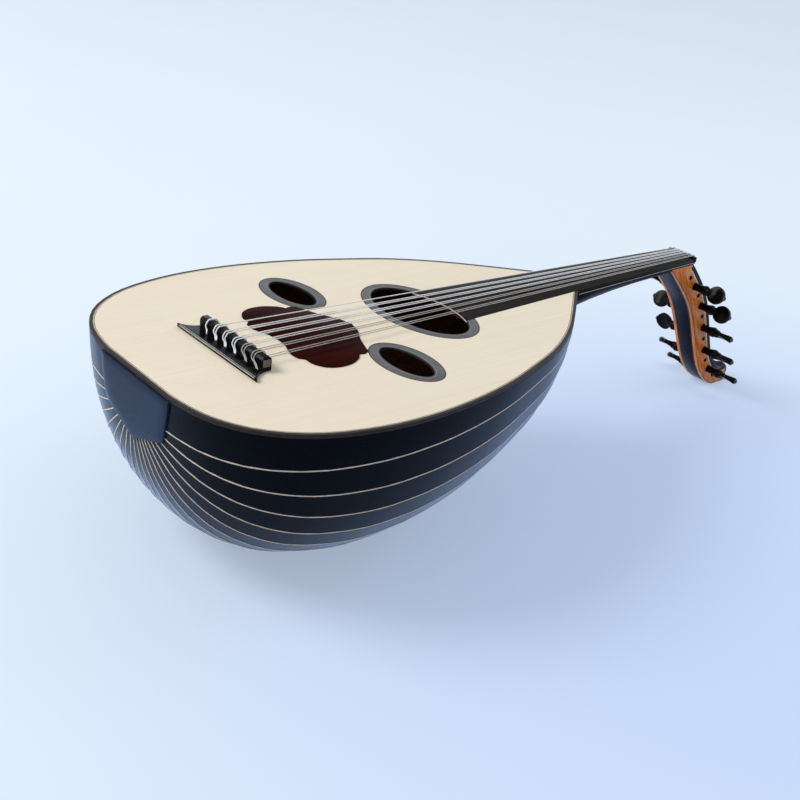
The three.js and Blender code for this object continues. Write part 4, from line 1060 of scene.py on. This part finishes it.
class OUD_OT_neck(bpy.types.Operator):
    """Finish the neck and the fingerboard, and lay the light line along the neck's sides"""

    bl_idname = "oud.neck"
    bl_label = "Neck"

    def execute(self, context):
        look = context.scene.oud_neck
        lacquer = lacquer_material("Neck lacquer", look.lacquer, roughness=0.3, haze=look.haze)
        dress("neck", lacquer, bevel=0.0003, angle=40.0)
        dress("fingerboard", wood_material("Fingerboard ebony", look.fingerboard), bevel=0.0004)
        surface = surface_of("neck")
        low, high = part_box("neck")
        start, end = low.y + NECK_LINE_MARGIN, high.y - NECK_LINE_MARGIN
        strips = []
        for side in (-1, 1):
            up = Vector((side, 0, NECK_LINE_LEAN)).normalized()
            line = []
            for i in range(NECK_LINE_STEPS + 1):
                y = start + (end - start) * i / NECK_LINE_STEPS
                beside = Vector((side * BESIDE_NECK, y, BOARD_TOP - look.line_drop))
                place, _, _, _ = surface.ray_cast(beside, Vector((-side, 0, 0)))
                if place is not None:
                    line.append((place, up))
            strips.append(ribbon(line, look.line_width, NECK_LINE_HEIGHT))
        add_piece("neck_lines", merge(strips), "neck_lacquer", inlay_material("Neck line", look.line))
        return {"FINISHED"}


# Pegbox

CHEEK_THICKNESS = 0.0038
GLUE_GAP = 0.0003
CAP_THICKNESS = 0.00025
FRONT_LINE_HEIGHT = 0.00015
BACK_LINE_INSET = 0.0007
BACK_LINE_HEIGHT = 0.00012
CHEEK_LINE_WIDTH = 0.0007
BACK_LINE_WIDTH = 0.0008
OUTER_FACING = 0.8
FORWARD_PER_HEIGHT = 0.3
BACK_SIDEWAYS_LIMIT = 0.3
BACK_NECKWARD_LIMIT = 0.35
BACK_TOP_DROP = 0.02


def cap_strip(run, side, width):
    """A dark strip that covers the front edge of a cheek: a margin of its outer face and its front."""
    out = Vector((side, 0, 0)) * CAP_THICKNESS
    rings = []
    for place, _, inward in run:
        ahead = inward * -CAP_THICKNESS
        margin = place + inward * width
        front = place - Vector((side, 0, 0)) * CHEEK_THICKNESS
        rings.append([
            margin, margin + out, place + out + ahead / 2, place + out / 2 + ahead, front + ahead, front, place,
        ])
    return join_rings(rings)


def behind(normal, place):
    """Whether a face of the pegbox's back looks backward."""
    low = place.z < BOARD_TOP - BACK_TOP_DROP
    return low and abs(normal.x) < BACK_SIDEWAYS_LIMIT and normal.y < BACK_NECKWARD_LIMIT


def two_longest(runs):
    return sorted(runs, key=run_length)[-2:]


def forwardness(run):
    """How far forward a run lies along the pegbox."""
    return sum(p[0].y + p[0].z * FORWARD_PER_HEIGHT for p in run) / len(run)


class OUD_OT_pegbox(bpy.types.Operator):
    """Finish the pegbox, with the dark caps and the lines along its edges"""

    bl_idname = "oud.pegbox"
    bl_label = "Pegbox"

    def execute(self, context):
        look = context.scene.oud_pegbox
        wood = wood_material("Cheek wood", look.cheek)
        black = inlay_material("Cheek cap", look.cap, roughness=0.3, specular=0.12)
        red = inlay_material("Back border line", look.back_line, roughness=0.4)
        light = inlay_material("Border line", look.line, roughness=0.4)
        lacquer = lacquer_material("Pegbox lacquer", look.back, roughness=0.26, haze=look.haze)
        dress("pegbox_back", lacquer, bevel=0.0003)
        for name, side in zip(CHEEKS, (1, -1)):
            dress(name, wood, bevel=0.0003, angle=30.0)
            edges = face_edges(name, lambda normal, place: normal.x * side > OUTER_FACING)
            back, front = sorted(two_longest(run for run, closed in edges if not closed), key=forwardness)
            add_piece(f"{name}_cap", cap_strip(ease(front), side, look.cap_width), "pegbox_lacquer", black)
            inset = look.cap_width + look.line_width / 2
            front_line = inset_ribbon(front, inset, look.line_width, FRONT_LINE_HEIGHT)
            add_piece(f"{name}_front_line", merge(front_line), "cheek_wood", light)
            back_line = inset_ribbon(back, BACK_LINE_INSET, CHEEK_LINE_WIDTH, BACK_LINE_HEIGHT)
            add_piece(f"{name}_back_line", merge(back_line), "cheek_wood", red)
        lines = []
        for run in two_longest(run for run, _ in face_edges("pegbox_back", behind)):
            lines += inset_ribbon(run, BACK_LINE_INSET, BACK_LINE_WIDTH, BACK_LINE_HEIGHT)
        add_piece("pegbox_back_lines", merge(lines), "pegbox_lacquer", red)
        return {"FINISHED"}


# Pegs. Sizes are in millimetres, and each form of a peg is a row of (distance outward, radius)

TIP_REACH = 1.0
PEG_TIP = ((0.0, 1.7), (0.35, 2.15))
PEG_SHOULDER = ((0.0, 2.2), (0.02, 3.3), (0.4, 3.6))
PEG_SHAFT = (
    (0.0, 4.1), (7.0, 4.15), (8.4, 4.35), (10.2, 4.75), (12.6, 5.3), (14.2, 5.7), (15.3, 5.8), (16.3, 5.75),
    (16.9, 5.4), (17.3, 4.95), (18.2, 4.75), (19.5, 4.7), (21.0, 4.5), (22.6, 3.9), (24.6, 2.6),
)
PEG_PIP = (
    (-1.2, 1.9), (-0.6, 2.2), (0.0, 1.75), (0.35, 1.75), (0.6, 2.35), (1.2, 2.55), (1.9, 2.3), (2.3, 1.5), (2.45, 0.0),
)
PEG_HEAD_MIDDLE = 29.7
PEG_HEAD_RADIUS = 10.0
PEG_HEAD_THIN = 4.6
PEG_HEAD_THICK = 7.8

# One side of a peg's head from its middle to its rim: shares of its radius and of its half thickness
PEG_HEAD_SIDE = ((0.0, 1), (0.35, 1), (0.65, 1), (0.85, 1), (0.95, 0.94), (1.0, 0.7))

# How far each peg is turned from the top of its circle, as shares of a full turn
PEG_TURNS = (0.07, 0.17, 0.065, 0.18, 0.33, 0.42, 0.22, 0.41, 0.07, 0.42, 0.07)


def turned_form(profile, sides):
    """A form turned about the x axis, closed at both ends."""
    return join_rings([
        [Vector((along, radius * c, radius * s)) for c, s in circle(sides)] for along, radius in profile
    ])


def peg_head(sides):
    """The flat round head, hollowed towards its middle."""
    rings = []
    for reach, level in (*PEG_HEAD_SIDE, *((reach, -level) for reach, level in reversed(PEG_HEAD_SIDE))):
        ring = []
        for c, s in circle(sides):
            along = reach * c
            thickness = PEG_HEAD_THIN + (PEG_HEAD_THICK - PEG_HEAD_THIN) * along * along
            ring.append(Vector((
                PEG_HEAD_MIDDLE + PEG_HEAD_RADIUS * along, PEG_HEAD_RADIUS * reach * s, level * thickness / 2,
            )))
        rings.append(ring)
    return join_rings(rings, capped=False)


class OUD_OT_pegs(bpy.types.Operator):
    """Turn the pegs with their collars, hollowed heads and pips"""

    bl_idname = "oud.pegs"
    bl_label = "Pegs"

    def execute(self, context):
        look = context.scene.oud_pegs
        ebony = wood_material("Peg ebony", look.wood)
        light = inlay_material("Peg pip", look.pip, roughness=0.3)
        pip = [(PEG_HEAD_MIDDLE + PEG_HEAD_RADIUS + along, radius) for along, radius in PEG_PIP]
        knob = turned_form(pip, look.sides // 2)
        for index, name in enumerate(PEGS):
            place = Vector(JOINTS[index]["pos_m"])
            end = -2 * abs(place.x) / MILLIMETRE
            inner = end + (CHEEK_THICKNESS + 2 * GLUE_GAP) / MILLIMETRE
            tip = [(end - TIP_REACH + along, radius) for along, radius in PEG_TIP]
            shoulder = [(inner + along, radius) for along, radius in PEG_SHOULDER]
            dark = merge([turned_form([*tip, *shoulder, *PEG_SHAFT], look.sides), peg_head(look.sides)])
            points, faces = merge([dark, knob])
            flip = Matrix.Rotation(math.pi, 4, "Z") if place.x < 0 else Matrix.Identity(4)
            turn = Matrix.Rotation(PEG_TURNS[index] * 2 * math.pi, 4, "X")
            spot = Matrix.Translation(place) @ flip @ turn @ Matrix.Scale(MILLIMETRE, 4)
            piece = add_piece(
                f"tuning_peg_{index + 1:02d}_turned", ([spot @ p for p in points], faces), "peg_ebony", ebony, light,
                body=JOINTS[index]["child"], angle=45.0,
            )
            for face in piece.data.polygons[len(dark[1]):]:
                face.material_index = 1
            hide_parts(name)
        return {"FINISHED"}


# Strings

COURSE_COUNT = 6

# Spacing of the courses, and of the two strings of a pair
BRIDGE_SPACING = (0.0142, 0.0035)
NUT_SPACING = (0.0054, 0.002)

# How far each course's tie leans to the treble side, and the tie's other sizes
TIE_LEANS = (0.006, 0.0065, 0.007, 0.0075, 0.01, 0.012)
TIE_PINCH = 0.35
TIE_TAIL = 0.0034
TIE_DIP = 0.0007
TIE_DIP_RATE = 1.6
TIE_FALL_RATE = 1.12
TIE_SWELL = 1.25
TIE_STEPS = 16

# Points over the block's chamfer, as shares of it: along, and down from the top
CHAMFER_POINTS = ((0.3, 0.35), (0.9, 0.04))
BLOCK_TOP_SHARE = 0.4
CURVE_STEPS = 3
STRING_SIDES = 8
LAY_GAP = 0.0002
SHAFT_RADIUS = 0.0041
LANE_HEIGHT = 0.0024
LANE_GAP = 0.0013
LANE_BEND_SHARE = 0.6
PEG_GAP = 0.0003
FINGERBOARD_THICKNESS = 0.004


def course_middle(course, spacing):
    """The place of a course across the neck."""
    return (course - (COURSE_COUNT - 1) / 2) * spacing[0]


def lanes(spacing):
    """Places of the strings across the neck: one bass string, then pairs."""
    half = spacing[1] / 2
    places = [course_middle(0, spacing)]
    for course in range(1, COURSE_COUNT):
        middle = course_middle(course, spacing)
        places += [middle - half, middle + half]
    return places


def peg_place(index):
    return Vector(JOINTS[index]["pos_m"])


def lane_room(outer_x):
    """Half of the width that the strings have inside the pegbox, where its outer face is at x."""
    return abs(outer_x) - CHEEK_THICKNESS - GLUE_GAP - LANE_GAP


def peg_way(index):
    """The way down the pegbox at a peg, from its neighbours."""
    way = peg_place(min(len(JOINTS) - 1, index + 1)) - peg_place(max(0, index - 1))
    way.x = 0
    return way.normalized()


def tied_path(string, radius):
    """A string's route at the bridge: its tie down the back of the block, then over the block to its hole."""
    lay = radius + LAY_GAP
    thick = radius * TIE_SWELL + LAY_GAP
    width, height, chamfer, hole = BRIDGE_BLOCK
    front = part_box("bridge")[1].y
    back = front - width
    top = BOARD_TOP + height
    shoulder = top - chamfer
    plate = BOARD_TOP + PLATE_THICKNESS + thick
    x = lanes(BRIDGE_SPACING)[string]
    course = (string + 1) // 2
    middle = course_middle(course, BRIDGE_SPACING)
    foot_x = middle + TIE_LEANS[course] + (x - middle) * TIE_PINCH
    tie = []
    for i in range(TIE_STEPS + 1):
        t = 1 - i / TIE_STEPS
        dip = TIE_DIP * math.sin(math.pi * min(1.0, TIE_DIP_RATE * t))
        tie.append(Vector((
            x + (foot_x - x) * t * t,
            back - thick - dip - TIE_TAIL * t ** 3,
            shoulder + (plate - shoulder) * min(1.0, TIE_FALL_RATE * t),
        )))
    over = [
        *((back + chamfer * along, top - chamfer * down + thick) for along, down in CHAMFER_POINTS),
        (back + width * BLOCK_TOP_SHARE, top + thick), (front - width * BLOCK_TOP_SHARE, top + thick),
        *((front - chamfer * along, top - chamfer * down + thick) for along, down in reversed(CHAMFER_POINTS)),
        (front + thick, shoulder), (front + thick, BOARD_TOP + hole + 2 * thick), (front + 3 * lay, BOARD_TOP + hole),
    ]
    return smooth_line([*tie, *[Vector((x, y, z)) for y, z in over]], CURVE_STEPS)


def string_path(string, radius, look):
    """A string's route and thickness: tied at the bridge, over the nut, down the pegbox and round its peg."""
    path = tied_path(string, radius)
    tied = len(path)
    lay = radius + LAY_GAP
    lane = 2 * string / (len(STRINGS) - 1) - 1
    nut_x = lanes(NUT_SPACING)[string]
    nut_low, nut_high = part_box("nut")
    past_nut = nut_high.y + lay
    first_x = lane * lane_room(peg_place(0).x)
    path += [
        Vector((nut_x, nut_low.y, nut_high.z + lay)),
        Vector((nut_x, nut_high.y - lay / 2, nut_high.z + lay)),
        Vector((nut_x, past_nut, (nut_high.z + BOARD_TOP) / 2)),
        Vector((nut_x + (first_x - nut_x) * LANE_BEND_SHARE, past_nut, BOARD_TOP - FINGERBOARD_THICKNESS)),
    ]
    bass = math.ceil(len(PEGS) / 2)
    peg = 2 * string if string < bass else 2 * (len(PEGS) - 1 - string) + 1
    for passed in range(peg):
        way = peg_way(passed)
        ahead = Vector((0, -way.z, way.y)) * (SHAFT_RADIUS + LANE_HEIGHT)
        spot = peg_place(passed)
        path.append(Vector((lane * lane_room(spot.x), spot.y, spot.z)) + ahead)
    way = peg_way(peg)
    start = math.atan2(way.y, -way.z)
    spot = peg_place(peg)
    room = lane * lane_room(spot.x)
    wrap_radius = SHAFT_RADIUS + PEG_GAP + radius
    pitch = math.copysign(2 * radius + look.wrap_gap, lane or 1)
    for i in range(look.turns * look.steps + 1):
        turn = start - 2 * math.pi * i / look.steps
        path.append(Vector((
            room - pitch * i / look.steps,
            spot.y + wrap_radius * math.cos(turn),
            spot.z + wrap_radius * math.sin(turn),
        )))
    fade = CURVE_STEPS * 2
    swells = [TIE_SWELL] * (tied - fade) + [1 + (TIE_SWELL - 1) * (1 - k / fade) for k in range(1, fade + 1)]
    return path, [radius * swell for swell in swells] + [radius] * (len(path) - tied)


class OUD_OT_strings(bpy.types.Operator):
    """String the oud, from the bridge to the pegs"""

    bl_idname = "oud.strings"
    bl_label = "Strings"

    def execute(self, context):
        look = context.scene.oud_strings
        finishes = {
            "wound_string": string_material("Wound string", look.wound, pitch=0.00045, metallic=0.05, roughness=0.3),
            "plain_string": string_material("Plain string", look.plain, pitch=0.0009, metallic=0.0, roughness=0.26),
        }
        slots = {part["node"]: part["material_slot"] for part in frame["record"]["subparts"]}
        for index, name in enumerate(STRINGS):
            part = index / (len(STRINGS) - 1)
            radius = (look.bass_width + (look.treble_width - look.bass_width) * part) / 2
            path, radii = string_path(index, radius, look)
            slot = slots[name]
            piece = add_piece(f"{name}_strung", tube(path, radii, STRING_SIDES), slot, finishes[slot])
            travelled, values = 0.0, []
            for before, place in zip([path[0], *path], path):
                travelled += (place - before).length
                values += [travelled] * STRING_SIDES
            piece.data.attributes.new("along", "FLOAT", "POINT").data.foreach_set("value", values)
            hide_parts(name)
        return {"FINISHED"}


# Stage

FLOOR_HALF_SIZE = 12.0
FLOOR_FADE_START = 1.2
FLOOR_FADE_END = 9.6
# Painted shadow on the floor: the middle of the bluer, darker patch beside the bowl, and the distances over which it
# fades out
PAINTED_SHADE_MIDDLE = (0.32, 0.34, 0.0)
PAINTED_SHADE_NEAR = 0.15
PAINTED_SHADE_FAR = 0.95
SKY_COLOUR = (0.93, 0.96, 1.0, 1.0)
CAMERA_PLACE = (0.7690, -0.5707, 0.5903)
CAMERA_TURNS = ((48.026, "Z"), (90 - 25.998, "X"), (6.476, "Z"))
LAMP_AIM = Vector((0.0, 0.15, 0.1))

# Each lamp: name, place, size, share of the large lamp's power, and colour
LAMPS = (
    ("Large lamp", (-2.12, -2.8, 3.5), 2.6, 1.0, (1.0, 0.985, 0.96)),
    ("Far lamp", (0.6, 2.4, 1.8), 1.4, 0.055, (0.9, 0.95, 1.0)),
)


class OUD_OT_stage(bpy.types.Operator):
    """Lay the pale floor, hang the soft lamps and place the camera"""

    bl_idname = "oud.stage"
    bl_label = "Stage"

    def execute(self, context):
        look = context.scene.oud_stage
        self.floor(look)
        self.sky(context.scene, look)
        for lamp in LAMPS:
            self.lamp(look.lamp, *lamp)
        self.camera(context.scene, look)
        context.scene.view_settings.view_transform = "Standard"
        return {"FINISHED"}

    def camera(self, scene, look):
        camera = bpy.data.cameras.new("Camera")
        camera.sensor_width = 36
        camera.lens = look.lens
        camera.clip_end = 50
        pose = Matrix.Translation(CAMERA_PLACE)
        for angle, axis in CAMERA_TURNS:
            pose = pose @ Matrix.Rotation(math.radians(angle), 4, axis)
        scene.camera = new_object("Camera", camera)
        scene.camera.matrix_world = pose

    def floor(self, look):
        """A pale floor that keeps its shadow near the oud, has a painted shadow beside the bowl, and fades into the
        sky far off.
        """
        half = FLOOR_HALF_SIZE
        mesh = bpy.data.meshes.new("floor")
        mesh.from_pydata([(-half, -half, 0), (half, -half, 0), (half, half, 0), (-half, half, 0)], [], [(0, 1, 2, 3)])
        floor = new_object("floor", mesh)
        material, b, shader, place = new_material("Pale floor")
        spot = place["Object"]
        # Painted shadow: near the bowl, the floor's colour and its pale lift both move towards the painted shade
        # colour
        beside = b.vector("DISTANCE", spot, PAINTED_SHADE_MIDDLE, output="Value")
        shade = b.remap(beside, PAINTED_SHADE_NEAR, PAINTED_SHADE_FAR, 1.0, 0.0)
        noise = b.noise(spot, scale=2.0, detail=3.0)
        even = b.mix(b.remap(noise, 0.3, 0.7), rgb(look.floor, 0.985), rgb(look.floor, 1.01))
        b.put(shader, "Base Color", b.mix(shade, even, rgb(look.shade)))
        shader.inputs["Roughness"].default_value = 0.55
        shader.inputs["Specular IOR Level"].default_value = 0.3
        far = b.remap(b.vector("LENGTH", spot, output="Value"), FLOOR_FADE_START, FLOOR_FADE_END)
        rays = b.add("ShaderNodeLightPath").outputs
        seen = b.maths("MAXIMUM", rays["Is Camera Ray"], rays["Is Transmission Ray"])
        lifted = b.maths("MULTIPLY", seen, b.maths("MAXIMUM", far, look.pale_share))
        mirrored = b.maths("MULTIPLY", rays["Is Glossy Ray"], look.mirror_share)
        glow = b.tint(rgb(look.pale), rgb(look.shade), shade, b.maths("SUBTRACT", 1.0, far))
        pale = b.add("ShaderNodeEmission", Color=glow, Strength=1.0).outputs[0]
        both = b.mix_shaders(b.maths("MAXIMUM", lifted, mirrored), shader.outputs["BSDF"], pale)
        underside = b.add("ShaderNodeNewGeometry").outputs["Backfacing"]
        whole = b.mix_shaders(underside, both, b.add("ShaderNodeBsdfTransparent").outputs[0])
        output = next(node for node in material.node_tree.nodes if node.type == "OUTPUT_MATERIAL")
        b.put(output, "Surface", whole)
        mesh.materials.append(material)

    def sky(self, scene, look):
        """Even light from all round, pale where it is seen, mirrored or seen through."""
        world = bpy.data.worlds.new("Soft light")
        scene.world = world
        world.use_nodes = True
        world.node_tree.nodes.clear()
        b = Builder(world.node_tree)
        rays = b.add("ShaderNodeLightPath").outputs
        seen = b.maths("MAXIMUM", rays["Is Camera Ray"], rays["Is Transmission Ray"])
        seen = b.maths("MAXIMUM", seen, rays["Is Glossy Ray"])
        light = b.add("ShaderNodeBackground", Color=SKY_COLOUR, Strength=look.sky).outputs[0]
        pale = b.add("ShaderNodeBackground", Color=rgb(look.pale), Strength=1.0).outputs[0]
        b.add("ShaderNodeOutputWorld", b.mix_shaders(seen, light, pale))

    def lamp(self, power, name, place, size, power_share, tint):
        data = bpy.data.lights.new(name, "AREA")
        data.shape = "DISK"
        data.size = size
        data.energy = power * power_share
        data.color = tint
        lamp = new_object(name, data)
        lamp.location = place
        lamp.rotation_euler = (LAMP_AIM - Vector(place)).to_track_quat("-Z", "Y").to_euler()


class OUD_PT_panel(bpy.types.Panel):
    """The steps that finish the oud"""

    bl_idname = "OUD_PT_panel"
    bl_label = "Oud"
    bl_space_type = "VIEW_3D"
    bl_region_type = "UI"
    bl_category = "Oud"

    def draw(self, context):
        for operator in OPERATORS:
            self.layout.operator(operator.bl_idname, text=operator.bl_label)
        for name in SETTINGS:
            box = self.layout.box()
            group = getattr(context.scene, name)
            for key in group.__annotations__:
                box.prop(group, key)


OPERATORS = (
    OUD_OT_bowl,
    OUD_OT_inside,
    OUD_OT_soundboard,
    OUD_OT_pickguard,
    OUD_OT_bridge,
    OUD_OT_neck,
    OUD_OT_pegbox,
    OUD_OT_pegs,
    OUD_OT_strings,
    OUD_OT_stage,
)


def register():
    for name, settings in SETTINGS.items():
        bpy.utils.register_class(settings)
        setattr(bpy.types.Scene, name, bpy.props.PointerProperty(type=settings))
    for operator in OPERATORS:
        bpy.utils.register_class(operator)
    bpy.utils.register_class(OUD_PT_panel)


def unregister():
    bpy.utils.unregister_class(OUD_PT_panel)
    for operator in reversed(OPERATORS):
        bpy.utils.unregister_class(operator)
    for name, settings in SETTINGS.items():
        delattr(bpy.types.Scene, name)
        bpy.utils.unregister_class(settings)


def main():
    register()
    bpy.ops.oud.bowl()
    bpy.ops.oud.inside()
    bpy.ops.oud.soundboard()
    bpy.ops.oud.pickguard()
    bpy.ops.oud.bridge()
    bpy.ops.oud.neck()
    bpy.ops.oud.pegbox()
    bpy.ops.oud.pegs()
    bpy.ops.oud.strings()
    bpy.ops.oud.stage()


if __name__ == "__main__":
    main()
